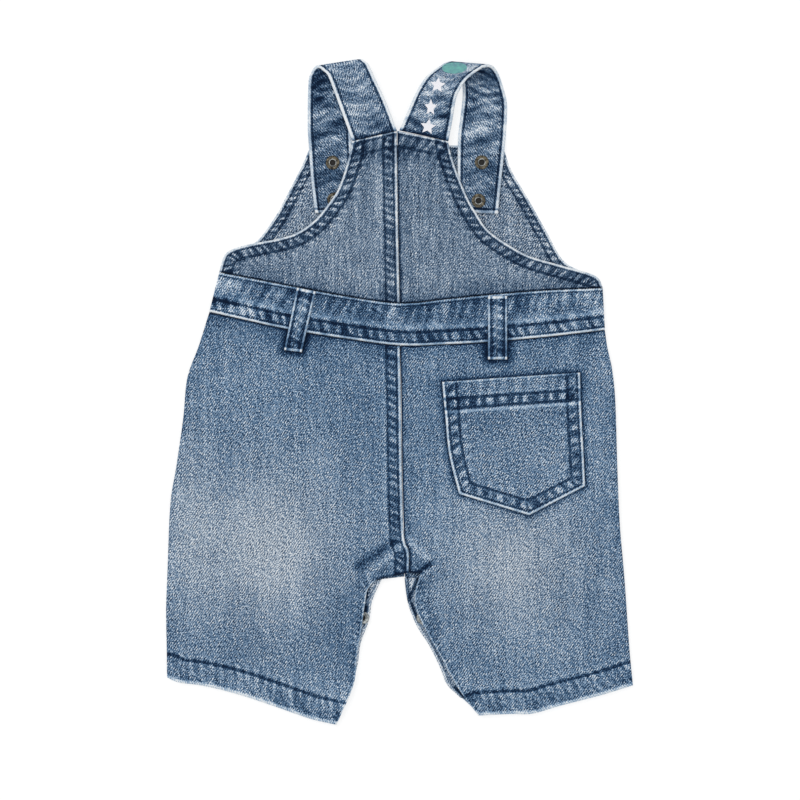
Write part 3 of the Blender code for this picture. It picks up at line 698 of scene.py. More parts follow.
class Grain:
    """Smooth noise between -1 and 1 over a plane, the same at every run."""

    def __init__(self, seed):
        self.table = np.random.RandomState(seed).uniform(-1.0, 1.0, (64, 64))

    def at(self, u, v):
        """The noise at each place."""
        column = np.floor(u).astype(int)
        row = np.floor(v).astype(int)
        across = u - column
        down = v - row
        across = across * across * (3 - 2 * across)
        down = down * down * (3 - 2 * down)
        size = len(self.table)
        top = (self.table[row % size, column % size] * (1 - across)
               + self.table[row % size, (column + 1) % size] * across)
        bottom = (self.table[(row + 1) % size, column % size] * (1 - across)
                  + self.table[(row + 1) % size, (column + 1) % size] * across)
        return top * (1 - down) + bottom * down


def distances(x, y, lines):
    """How far each place lies from the nearest of some lines, and how far along that line."""
    away = np.full(x.shape, 1e9)
    along = np.zeros(x.shape)
    passed = 0.0
    for line in lines:
        for start, end in zip(line[:-1], line[1:]):
            length = math.hypot(end[0] - start[0], end[1] - start[1])
            if length < 1e-6:
                continue
            gap, t = beside(x, y, start, end)
            nearer = gap < away
            away = np.where(nearer, gap, away)
            along = np.where(nearer, passed + t * length, along)
            passed += length
    return away, along


def puckers(away, along, seed, length, reach, lean, amount):
    """Small ridges that run out of a seam: their spacing, reach, lean and height."""
    u = (along + lean * away) / length * PUCKER_FINE
    v = away / (PUCKER_LONG * length) + PUCKER_STEP * seed
    return amount * (Grain(seed).at(u, v) * swell(away, reach))


def with_rims(plan):
    """The same panel with more rows and columns close to its edges."""
    def closer(table):
        first = [table[0] + (table[1] - table[0]) * share for share in RIM_SHARES]
        last = [table[-1] + (table[-2] - table[-1]) * share for share in reversed(RIM_SHARES)]
        return np.concatenate([table[:1], np.array(first), table[1:-1], np.array(last), table[-1:]])
    rows = closer(plan)
    return closer(rows.transpose(1, 0, 2)).transpose(1, 0, 2)


def rounding(away):
    """Share of the cloth's thickness that is left near a turned edge."""
    t = np.clip(away / ROUND_REACH, 0.0, 1.0)
    return ROUND_START + (1 - ROUND_START) * np.sqrt(1 - (1 - t) ** 2)


def put(name, data):
    """A new object in the scene."""
    made = bpy.data.objects.new(name, data)
    bpy.context.scene.collection.objects.link(made)
    return made


def to_frame(points):
    """Points in millimetres as places in the shared frame, in metres."""
    return (points - np.array((*CENTRE, 0.0))) * MM


def shell(name, lower, upper, channels, material):
    """A closed shell between two tables of points in millimetres, with its values at each point."""
    rows, columns = lower.shape[:2]
    count = rows * columns
    index = np.arange(count).reshape(rows, columns)
    corners = (index[:-1, :-1], index[1:, :-1], index[1:, 1:], index[:-1, 1:])
    sheet_faces = np.stack([corner.ravel() for corner in corners], axis=1)
    border = np.concatenate([index[:-1, 0], index[-1, :-1], index[:0:-1, -1], index[0, :0:-1]])
    onward = np.roll(border, -1)
    walls = np.stack([border, onward, onward + count, border + count], axis=1)
    faces = np.concatenate([sheet_faces[:, ::-1], sheet_faces + count, walls])
    places = to_frame(np.concatenate([lower.reshape(-1, 3), upper.reshape(-1, 3)]))
    mesh = bpy.data.meshes.new(name)
    mesh.from_pydata(places.tolist(), [], faces.tolist())
    for channel, values in channels.items():
        values = np.tile(values.reshape(count, -1), (2, 1))
        kind, field = ("FLOAT", "value") if values.shape[1] == 1 else ("FLOAT_VECTOR", "vector")
        mesh.attributes.new(channel, kind, "POINT").data.foreach_set(field, values.ravel())
    mesh.shade_smooth()
    mesh.materials.append(material)
    return put(name, mesh)


def in_space(x, y, z):
    """Points in space from their three tables."""
    return np.stack([x, y, z], axis=-1)


def cut_of(plan):
    """Width and length of a panel's cut and its flat area, in metres."""
    first = plan[1:, 1:] - plan[:-1, :-1]
    second = plan[1:, :-1] - plan[:-1, 1:]
    area = np.abs(first[..., 0] * second[..., 1] - first[..., 1] * second[..., 0]).sum() / 2
    size = np.ptp(plan.reshape(-1, 2), axis=0)
    if area < SLANTED_SHARE * size[0] * size[1]:
        length = np.linalg.norm(np.diff(plan, axis=0), axis=2).sum(axis=0).mean()
        size = (max(area / length, NARROWEST_CUT), length)
    return (float(size[0]) * MM, float(size[1]) * MM), float(area) * MM * MM


def cloth(node, plan, height, thickness, lines, look, tone_at=None, wash_at=None, ease=0.0):
    """A panel of denim. Each of its lines has a name, its edges and what its puckers measure."""
    plan = with_rims(plan)
    x = plan[..., 0]
    y = plan[..., 1]
    none = np.zeros_like(x)
    border = np.concatenate([plan[:, 0], plan[-1, 1:], plan[::-1, -1][1:], plan[0, ::-1][1:]])
    edge_away, _ = distances(x, y, [border])
    sway = ease * Grain(len(node) * SWAY_SEED).at(x / SWAY_ACROSS, y / SWAY_UP)
    sway = sway * np.clip(edge_away / SWAY_GROWS, 0.0, 1.0)
    relief = none
    channels = {"cloth": in_space(x, y, none)}
    for number, (channel, edges, ridges) in enumerate(lines):
        away, along = distances(x, y, edges)
        channels[channel] = in_space(away, along, none)
        if ridges:
            relief = relief + puckers(away, along, PUCKER_SEED * number + len(node), *ridges)
    # The puckers' crests are lightened as rubbed wear and their hollows darkened as painted shade
    channels["tone"] = (tone_at(x, y) if tone_at else none) + RELIEF_WEAR_AND_SHADE * relief
    channels["wash"] = wash_at(x, y) if wash_at else none
    under = height(x, y)
    depth = thickness(x, y) if callable(thickness) else np.full_like(x, thickness)
    depth = (depth + sway + np.clip(relief, -RELIEF_LIMIT, RELIEF_LIMIT)) * rounding(edge_away)
    piece = shell(node + "_cloth", in_space(x, y, under), in_space(x, y, under + depth), channels,
                  denim(node, look, [line[0] for line in lines]))
    return (piece, *cut_of(plan))


def linear(level):
    """A colour level of 255 as the renderer counts it."""
    share = level / 255.0
    return share / 12.92 if share <= 0.04045 else ((share + 0.055) / 1.055) ** 2.4


def colour_of(levels):
    """A colour from its levels of red, green and blue."""
    return (*(linear(level) for level in levels), 1.0)


def new_finish(name, surface):
    """A new material and its nodes, with what is the same all over its surface."""
    material = bpy.data.materials.new(name)
    material.use_nodes = True
    for socket, value in surface.items():
        material.node_tree.nodes["Principled BSDF"].inputs[socket].default_value = value
    return material, material.node_tree


def show(tree, colour, height=None, distance=MM, strength=1.0):
    """Give a material its colour, and what stands proud in it."""
    shader = tree.nodes["Principled BSDF"]
    tree.links.new(colour, shader.inputs["Base Color"])
    if height is not None:
        bump = add(tree, "Bump", {"Height": height, "Distance": distance, "Strength": strength})
        tree.links.new(bump.outputs[0], shader.inputs["Normal"])


def add(tree, kind, inputs=None, **settings):
    """A new node with its settings, and its inputs linked or set."""
    node = tree.nodes.new("ShaderNode" + kind)
    for name, value in settings.items():
        setattr(node, name, value)
    for name, value in (inputs or {}).items():
        give(tree, node.inputs[name], value)
    return node


def give(tree, socket, value):
    """Link a socket to another, or set its value."""
    if isinstance(value, bpy.types.NodeSocket):
        tree.links.new(value, socket)
    else:
        socket.default_value = value


def calc(tree, operation, *values):
    """The result of one sum."""
    node = tree.nodes.new("ShaderNodeMath")
    node.operation = operation
    for socket, value in zip(node.inputs, values):
        give(tree, socket, value)
    return node.outputs[0]


def total(tree, *terms):
    """The sum of pairs of a value and its weight."""
    result = None
    for value, weight in terms:
        if result is None:
            result = calc(tree, "MULTIPLY", value, weight)
        else:
            result = calc(tree, "MULTIPLY_ADD", value, weight, result)
    return result


def dot(tree, vector, direction):
    """How far a place lies along a direction."""
    node = add(tree, "VectorMath", operation="DOT_PRODUCT")
    tree.links.new(vector, node.inputs[0])
    node.inputs[1].default_value = direction
    return node.outputs["Value"]


def place(tree, x, y, z=0.0):
    """A place from its parts."""
    return add(tree, "CombineXYZ", {"X": x, "Y": y, "Z": z}).outputs[0]


def noise(tree, vector, scale, detail=1.0):
    """Noise around zero."""
    node = add(tree, "TexNoise", {"Vector": vector, "Scale": scale, "Detail": detail})
    return calc(tree, "SUBTRACT", node.outputs[0], 0.5)


def own_noise(tree, scale):
    """Noise in an object's own coordinates."""
    return noise(tree, add(tree, "TexCoord").outputs["Object"], scale, 2.0)


def drawn_out(tree, across, along, layer):
    """Noise that is drawn out along one direction."""
    each_across, each_along, offset, detail = layer
    where = place(tree, total(tree, (across, each_across)), total(tree, (along, each_along)), offset)
    return noise(tree, where, 1.0, detail)


def sloped(tree, value, slope, start, least):
    """A value on a slope, never less than the least."""
    return calc(tree, "MAXIMUM", total(tree, (value, slope), (1.0, start)), least)


def mixed(tree, share, first, second):
    """One colour that passes into another."""
    node = add(tree, "Mix", data_type="RGBA")
    for number, value in zip((0, 6, 7), (share, first, second)):
        give(tree, node.inputs[number], value)
    return node.outputs[2]


def ramp(tree, where, stops):
    """A colour ramp, with a colour at each of its stops."""
    node = add(tree, "ValToRGB", {"Fac": where})
    points = node.color_ramp.elements
    while len(points) < len(stops):
        points.new(1.0)
    for point, (share, colour) in zip(points, stops):
        point.position = share
        point.color = colour
    return node.outputs["Color"]


def profile(tree, away, stops, middle=0.5):
    """A value that follows the distance from an edge, by straight lines between its stops."""
    greys = [(distance / ROW_REACH, (value + middle,) * 3 + (1.0,)) for distance, value in stops]
    return calc(tree, "SUBTRACT", ramp(tree, calc(tree, "DIVIDE", away, ROW_REACH), greys), middle)


def dye(tree, tone, stops):
    """The denim's colour at a tone."""
    return ramp(tree, tone, [(share, colour_of(levels)) for share, *levels in stops])


def read(tree, name, output="Vector"):
    """A value that the mesh carries at each point."""
    return add(tree, "Attribute", attribute_name=name).outputs[output]


def twill(tree, flat):
    """The twill's slanting lines, and the dashes and specks of its yarn."""
    wander = add(tree, "TexNoise", {"Vector": flat, "Scale": BEND_SCALE, "Detail": 2.0}).outputs["Color"]
    bent = add(tree, "VectorMath", operation="MULTIPLY_ADD")
    for socket, value in zip(bent.inputs, (wander, (TWILL_BEND, TWILL_BEND, 0.0), flat)):
        give(tree, socket, value)
    across = dot(tree, bent.outputs[0], TWILL_ACROSS)
    along = dot(tree, bent.outputs[0], TWILL_ALONG)
    return {"lines": calc(tree, "SINE", calc(tree, "MULTIPLY", across, 2 * math.pi / TWILL_STEP)),
            "dashes": drawn_out(tree, across, along, DASHES),
            "specks": noise(tree, flat, *SPECKS)}


def beads(tree, away, along, number, stops, length, lean):
    """The mottled spots that stitching leaves beside a seam."""
    leaned = total(tree, (along, 1.0 / length), (away, lean / length))
    down = calc(tree, "DIVIDE", away, BEAD_STRETCH * length)
    uneven = noise(tree, place(tree, leaned, down, BEAD_OFFSET * number), BEAD_SCALE)
    spots = calc(tree, "SINE", total(tree, (leaned, 2 * math.pi), (uneven, BEAD_WANDER)))
    spots = total(tree, (spots, BEAD_REGULAR), (uneven, BEAD_UNEVEN))
    spots = calc(tree, "MAXIMUM", spots, BEAD_HOLLOW)
    return calc(tree, "MULTIPLY", spots, profile(tree, away, stops, 0.0))


def denim(name, look, channels):
    """Washed twill: its weave, its slubs and specks, its stitched rows and worn edges, and the painted
    shade that its lines and tone carry.
    """
    material, tree = new_finish(name + "_denim", {
        "Roughness": 0.88, "Specular IOR Level": 0.10, "Sheen Weight": 0.04, "Sheen Roughness": 0.6})
    flat = read(tree, "cloth")
    yarn = twill(tree, flat)
    split = add(tree, "SeparateXYZ", {"Vector": flat}).outputs
    upright = look.get("upright", UPRIGHT)
    weave = total(tree, *((yarn[part], shows) for part, (shows, rises) in WEAVE.items()),
                  (drawn_out(tree, split["X"], split["Y"], SLUBS), upright),
                  (drawn_out(tree, split["X"], split["Y"], STREAKS), STREAKS_SHOW * upright))
    relief = total(tree, *((yarn[part], rises) for part, (shows, rises) in WEAVE.items()))
    tone = total(tree, (noise(tree, flat, *CLOUDS), CLOUDS_SHOW), (read(tree, "tone", "Fac"), 1.0))
    rims = 0.0
    for number, channel in enumerate(channels):
        rows, *bead_sets = look["lines"][channel]
        where = add(tree, "SeparateXYZ", {"Vector": read(tree, channel)}).outputs
        away = total(tree, (where["X"], 1.0), (yarn["specks"], EDGE_WANDER))
        away = calc(tree, "MAXIMUM", away, 0.0)
        shifts = [profile(tree, away, rows)]
        rims = calc(tree, "MAXIMUM", rims, shifts[0])
        shifts += [beads(tree, away, where["Y"], number, *bead_set) for bead_set in bead_sets]
        for shift in shifts:
            tone = calc(tree, "ADD", tone, shift)
            relief = calc(tree, "MULTIPLY_ADD", shift, ROWS_RISE, relief)
    tone = calc(tree, "ADD", tone, look["base"])
    calm = calc(tree, "MULTIPLY", sloped(tree, rims, *CALM_ON_RIMS),
                calc(tree, "MINIMUM", sloped(tree, tone, *CALM_IN_DARK), 1.0))
    tone = calc(tree, "MULTIPLY_ADD", weave, calc(tree, "MULTIPLY", calm, look["weave"]), tone)
    colour = mixed(tree, read(tree, "wash", "Fac"), dye(tree, tone, DEEP), dye(tree, tone, WASHED))
    show(tree, colour, relief, MM, 0.8)
    return material


def patches(x, y, fades):
    """The sum of some soft patches."""
    return sum(amount * mound(x, y, *where) for *where, amount in fades)


def bands(places, fades):
    """The sum of some soft bands along one direction."""
    return sum(amount * swell(places - middle, reach) for middle, reach, amount in fades)


def clouded(x, y, clouds, seed=0):
    """The sum of some smooth noises over a plane."""
    shift = 0.0
    for own_seed, lean, length, tilt, height, start_x, start_y, share in clouds:
        u = (x + lean * y) / length + start_x
        v = (y + tilt * x) / height + start_y
        shift = shift + share * Grain(seed + own_seed).at(u, v)
    return shift


def loop_shadow(x, y):
    """Painted shadow close to the belt loops, strongest at their lower ends."""
    shift = 0.0
    for corners in BELT_LOOPS.values():
        away, _ = distances(x, y, [corners + corners[:1]])
        lower_end = np.clip((LOOP_SHADOW_TOP - y) / LOOP_SHADOW_GROWS, LOOP_SHADOW_LEAST, 1.0)
        shift = shift + LOOP_SHADOW * lower_end * swell(away, LOOP_SHADOW_REACH)
    return shift


def crease_shading(x, y, creases):
    """Painted highlight and shade along creases."""
    return sum(amount * swell(beside(x, y, (start_x, start_y), (end_x, end_y))[0], width)
               for start_x, start_y, end_x, end_y, width, amount in creases)


def leg_tone(x, y):
    """How faded the legs are, with painted shadow beside the belt loops and painted shade and highlight
    along the crotch creases.
    """
    return (patches(x, y, LEG_FADES) + clouded(x, y, LEG_CLOUDS) + loop_shadow(x, y)
            + crease_shading(x, y, CREASES))


def facing_tone(x, y):
    """The facings' folds as painted shade and highlight, and the painted shadow beside the legs' edges."""
    return crease_shading(x, y, FACING_CREASES) + clouded(x, y, FACING_CLOUDS)


def leg_wash(x, y):
    """How grey the legs' fades are."""
    return np.clip(patches(x, y, LEG_FADES[:GREY_FADES]) * LEG_WASH, 0.0, 1.0)


def bib_tone(x, y):
    """How faded the bib is."""
    return patches(x, y, BIB_FADES)


def bib_wash(x, y):
    """How grey the bib is."""
    return np.full_like(x, BIB_WASH)


def band_tone(x, y):
    """The waistband's long soft puckers, paler at its left end, with painted shadow beside the belt loops.
    """
    return (clouded(x, y, BAND_CLOUDS) + patches(x, y, BAND_SHADES) + bands(x, BAND_FADE)
            + loop_shadow(x, y))


def pocket_tone(x, y):
    """Darker blotches in the pocket's upper corners."""
    return patches(x, y, POCKET_SHADES)


def loop_tone(x, y):
    """A belt loop's rubbed middle and darker lower end."""
    return bands(y, LOOP_FADES)


def hem_depth(edges, width):
    """Thickness of a panel that is turned over along some edges."""
    def at(x, y):
        away, _ = distances(x, y, edges)
        return CLOTH + (HEM_CLOTH - CLOTH) * step_up(width - away, HEM_SOFTNESS)
    return at


def back_bib():
    """The two upper back panels."""
    rows = 112
    columns = 80
    waist = parted(WAIST_TOP, WAIST_CENTRE, columns, up=SEAM)
    shapes = (("back_bib_left", -1, ARMHOLE_LEFT, 0.22, (2.5, 8.7), (RIDGE_ROWS, (RIDGE_BEADS, 5.2, 0.4))),
              ("back_bib_right", 1, ARMHOLE_RIGHT, 0.10, (), (BESIDE_RIDGE_SHADOW,)))
    for name, side, armhole, ridge, seam_sewn, seam_profiles in shapes:
        outer_end, inner_end = ends_of(side, waist[side])
        seam = run(moved(CENTRE_BIB, across=side * SEAM), rows)
        seam[-1] = inner_end
        top = crossing(side, armhole[0], seam[0], columns)
        outer = run(armhole[:-1] + (outer_end,), rows)
        plan = side_patch(side, top, waist[side], outer, seam)
        lines = (("armhole", [outer], (5.5, 9.0, 0.9, 0.30)),
                 ("top", [top], (6.0, 12.0, 0.4, 0.35)),
                 ("seam", [seam], (5.0, 8.0, 0.3, ridge)),
                 ("waist", [waist[side]], (8.0, 10.0, 0.2, 0.25)))
        look = {"base": 0.48, "weave": 0.63, "upright": 1.3, "lines": {
            "armhole": (ARMHOLE_ROWS, (ARMHOLE_BEADS, 5.2, 0.6)),
            "top": (BIB_TOP_ROWS, (BIB_TOP_BEADS, 6.0, 0.5)),
            "seam": seam_profiles,
            "waist": (OVER_BAND_SHADOW,)}}
        made = cloth(name, plan, back_height, hem_depth([outer, top], BIB_TURNED), lines, look,
                     bib_tone, bib_wash, ease=0.16)
        dress(made, name, "denim_bib", "front_bib_cloth",
              (outer, (2.2, 7.9)), (top, (2.2, 9.6)), (seam, seam_sewn))


def waistband():
    """The strip across the back at the waist."""
    columns = 98
    top = whole(parted(WAIST_TOP, WAIST_CENTRE, columns, up=-SEAM))
    bottom = whole(parted(WAIST_BOTTOM, WAIST_CENTRE, columns, up=SEAM))
    rows = 24
    left = np.linspace(top[0], bottom[0], rows + 1)
    right = np.linspace(top[-1], bottom[-1], rows + 1)
    lines = (("top", [top], (8.0, 9.0, 0.3, 0.30)),
             ("bottom", [bottom], (5.5, 9.0, 0.5, 0.36)))
    look = {"base": 0.35, "weave": 0.85, "lines": {
        "top": (BAND_TOP_ROWS, (BAND_TOP_BEADS, 7.0, 0.3)),
        "bottom": (BAND_BOTTOM_ROWS, (BAND_BOTTOM_BEADS, 7.0, 0.4))}}
    made = cloth("back_waistband", patch(top, bottom, left, right), back_height, BAND_CLOTH, lines, look,
                 band_tone, ease=0.2)
    dress(made, "back_waistband", "denim_seam", "front_bib_cloth", (top, (2.1,)), (bottom, (2.3, 8.6)))


def back_legs():
    """The two lower back panels."""
    fine = 8
    columns = 108
    seat_rows = 12
    waist = parted(WAIST_BOTTOM, WAIST_CENTRE, columns, up=-SEAM)
    pocket_edge = np.vstack([run(POCKET_TOP, POCKET_STEPS)[::-1], run(POCKET_LEFT, POCKET_STEPS),
                             np.array([POCKET_POINT]), run(POCKET_RIGHT, POCKET_STEPS)[::-1]])
    shapes = (("back_leg_left", -1, SIDE_LEFT, HEM_LEFT, INSEAM_LEFT, 2, 8, 0.34, (2.5, 8.7),
               (RIDGE_ROWS, (RIDGE_BEADS, 5.6, 0.4))),
              ("back_leg_right", 1, SIDE_RIGHT, HEM_RIGHT, INSEAM_RIGHT, 1, 9, 0.14, (),
               (BESIDE_RIDGE_SHADOW,)))
    for name, side, outer, hem, inseam, crotch_rows, inseam_rows, ridge, seat_sewn, seam_profiles in shapes:
        outer_end, inner_end = ends_of(side, waist[side])
        seat = run(moved(CENTRE_SEAT, across=side * SEAM), seat_rows * fine)
        seat[0] = inner_end
        crotch = np.linspace(seat[-1], inseam[0], crotch_rows * fine + 1)
        leg_edge = run(inseam, inseam_rows * fine)
        inner = joined(seat, crotch, leg_edge)
        flank = run((outer_end,) + outer[1:], len(inner) - 1)
        bottom = run(hem, columns)
        plan = side_patch(side, waist[side], bottom, flank, inner)
        lines = [("waist", [waist[side]], (9.0, 16.0, 0.3, 0.26)),
                 ("seat", [seat], (6.0, 10.0, 0.4, ridge)),
                 ("hem", [bottom], (6.0, 12.0, 1.1, 0.44)),
                 ("crotch", [crotch], (5.0, 9.0, 0.2, 0.30)),
                 ("inseam", [leg_edge], (9.0, 9.0, 0.3, 0.30)),
                 ("side", [flank], (14.0, 9.0, 0.3, 0.24))]
        look = {"base": 0.445, "weave": 0.76, "upright": 0.6, "lines": {
            "waist": (UNDER_BAND_SHADOW,),
            "seat": seam_profiles,
            "hem": (HEM_ROWS, (HEM_BEADS, 5.8, 0.3), (HEM_TICKS, 1.5, 0.6)),
            "crotch": (CROTCH_ROWS,),
            "inseam": (INSEAM_ROWS, (INSEAM_BEADS, 4.0, 0.4)),
            "side": (SIDE_ROWS,)}}
        if side > 0:
            lines.append(("pocket", [pocket_edge], (7.0, 6.0, 0.2, 0.12)))
            look["lines"]["pocket"] = (ROUND_POCKET_SHADOW,)
        made = cloth(name, plan, back_height, hem_depth([bottom], LEG_TURNED), lines, look,
                     leg_tone, leg_wash, ease=0.45)
        dress(made, name, "denim_leg", name.replace("back", "front") + "_cloth",
              (bottom, (15.1,)), (seat, seat_sewn))


def front_bib():
    """The upper front panel, which lies flat beneath."""
    rows = 60
    waist = whole(parted(FRONT_WAIST, FRONT_WAIST_CENTRE, 80, up=SEAM))
    top = run(FRONT_BIB_TOP, len(waist) - 1)
    left = run(FRONT_ARMHOLE_LEFT[:-1] + (tuple(waist[0]),), rows)
    right = run(FRONT_ARMHOLE_RIGHT[:-1] + (tuple(waist[-1]),), rows)
    lines = (("armhole", [left, right], (5.5, 9.0, 0.9, 0.34)),
             ("top", [top], (6.0, 8.0, 0.3, 0.2)))
    look = {"base": 0.495, "weave": 0.78, "upright": 1.0, "lines": {
        "armhole": (FRONT_ARMHOLE_ROWS, (FRONT_ARMHOLE_BEADS, 4.6, 0.7)),
        "top": (FRONT_ARMHOLE_ROWS,)}}
    made = cloth("front_bib", patch(top, waist, left, right), flat_height, CLOTH, lines, look,
                 None, bib_wash, ease=0.12)
    dress(made, "front_bib", "denim_bib", "floor", (left, (2.2, 6.5)), (right, (2.2, 6.5)))


def front_legs():
    """The two lower front panels, tucked in a little at the inseams and hems."""
    tuck = 0.6
    hem_rise = 1.0
    fine = 6
    columns = 48
    waist = parted(FRONT_WAIST, FRONT_WAIST_CENTRE, columns, up=-SEAM)
    shapes = (("front_leg_left", -1, SIDE_LEFT, HEM_LEFT, FRONT_INSEAM_LEFT),
              ("front_leg_right", 1, SIDE_RIGHT, HEM_RIGHT, FRONT_INSEAM_RIGHT))
    for name, side, outer, hem, inseam in shapes:
        outer_end, inner_end = ends_of(side, waist[side])
        centre = run(moved(CENTRE_FRONT, across=side * SEAM), 10 * fine)
        centre[0] = inner_end
        edge = run(moved(inseam, across=side * tuck), 8 * fine)
        inner = joined(centre, np.linspace(centre[-1], edge[0], fine + 1), edge)
        bottom = run(moved(hem, up=hem_rise), columns)
        bottom[-1 if side < 0 else 0] = inner[-1]
        corner, _ = ends_of(side, bottom)
        flank = run((outer_end,) + outer[:-1] + (corner,), len(inner) - 1)
        plan = side_patch(side, waist[side], bottom, flank, inner)
        lines = (("inseam", [edge], (6.0, 8.0, 0.4, 0.2)),
                 ("hem", [bottom], (6.0, 8.0, 0.9, 0.2)))
        look = {"base": 0.42, "weave": 0.95, "lines": {
            "inseam": (INSEAM_ROWS, (INSEAM_BEADS, 4.0, 0.4)),
            "hem": (HEM_ROWS,)}}
        made = cloth(name, plan, flat_height, CLOTH, lines, look, leg_tone, leg_wash)
        dress(made, name, "denim_leg", "floor")


def inseam_facings():
    """The strips along the front's inseams, which show between the legs."""
    width = 9.0
    steps = 12
    fine = 5
    for name, inseam, side in (("inseam_facing_left", FRONT_INSEAM_LEFT, -1),
                               ("inseam_facing_right", FRONT_INSEAM_RIGHT, 1)):
        edge = run(inseam, (steps + 2) * fine)[:-2 * fine]
        inner = edge + np.array((side * width, 0.0))
        across = np.linspace(0.0, 1.0, 2 * fine + 1)[None, :, None]
        plan = edge[:, None] * (1 - across) + inner[:, None] * across
        lines = (("edge", [edge], (5.0, 6.0, 0.3, 0.12)),)
        look = {"base": 0.66, "weave": 0.7, "lines": {"edge": (FACING_ROWS,)}}
        made = cloth(name, plan, tape_height, TAPE_CLOTH, lines, look, facing_tone, bib_wash)
        dress(made, name, "denim_facing", name.replace("inseam_facing", "front_leg") + "_cloth")


def pocket():
    """The patch pocket on the right leg."""
    rows = 70
    columns = 72
    point_column = 42
    left = run(POCKET_LEFT, rows)
    right = run(POCKET_RIGHT, rows)
    bottom = joined(np.linspace(left[-1], POCKET_POINT, point_column + 1),
                    np.linspace(POCKET_POINT, right[-1], columns - point_column + 1))
    top = run(POCKET_TOP, columns)
    outline = np.vstack([left, bottom[1:], right[::-1][1:]])
    lines = (("outline", [outline], (5.5, 9.0, 0.6, 0.30)),
             ("top", [top], (6.0, 18.0, 0.3, 0.26)))
    look = {"base": 0.46, "weave": 0.86, "lines": {
        "outline": (POCKET_ROWS, (POCKET_BEADS, 7.6, 0.3)),
        "top": (POCKET_TOP_ROWS, (POCKET_TOP_BEADS, 7.8, 0.2))}}
    made = cloth("back_pocket", patch(top, bottom, left, right), pocket_height,
                 hem_depth([top], POCKET_TURNED), lines, look, pocket_tone, ease=0.2)
    dress(made, "back_pocket", "denim_leg", "back_leg_right_cloth",
          (outline, (2.3, 8.8)), (top, (11.1, 17.3)))


def belt_loops():
    """The two loops over the waistband."""
    rows = 40
    columns = 12
    for name, (top_left, top_right, bottom_right, bottom_left) in BELT_LOOPS.items():
        top = np.linspace(top_left, top_right, columns + 1)
        bottom = np.linspace(bottom_left, bottom_right, columns + 1)
        plan = np.linspace(top, bottom, rows + 1)
        sides = [plan[:, 0], plan[:, -1]]
        lines = (("sides", sides, (5.0, 5.0, 0.2, 0.10)), ("ends", [top, bottom], None))
        look = {"base": 0.23, "weave": 0.86, "lines": {
            "sides": (LOOP_SIDE_ROWS, (LOOP_SIDE_BEADS, 6.0, 0.2)),
            "ends": (LOOP_END_ROWS,)}}
        made = cloth(name, plan, loop_height, LOOP_CLOTH, lines, look, loop_tone)
        dress(made, name, "denim_seam", "back_waistband_cloth", *((edge, (2.0,)) for edge in sides))


def dress(made, node, slot, rests_on, *sewn):
    """Put a panel in the place of its solid, say what it is cut from, and note its sewn rows."""
    piece, flat, area = made
    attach(piece, "root")
    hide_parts(node)
    sheets.append([piece, flat, area, [rests_on], []])
    rows_to_sew.extend((piece, edge, offsets) for edge, offsets in sewn)


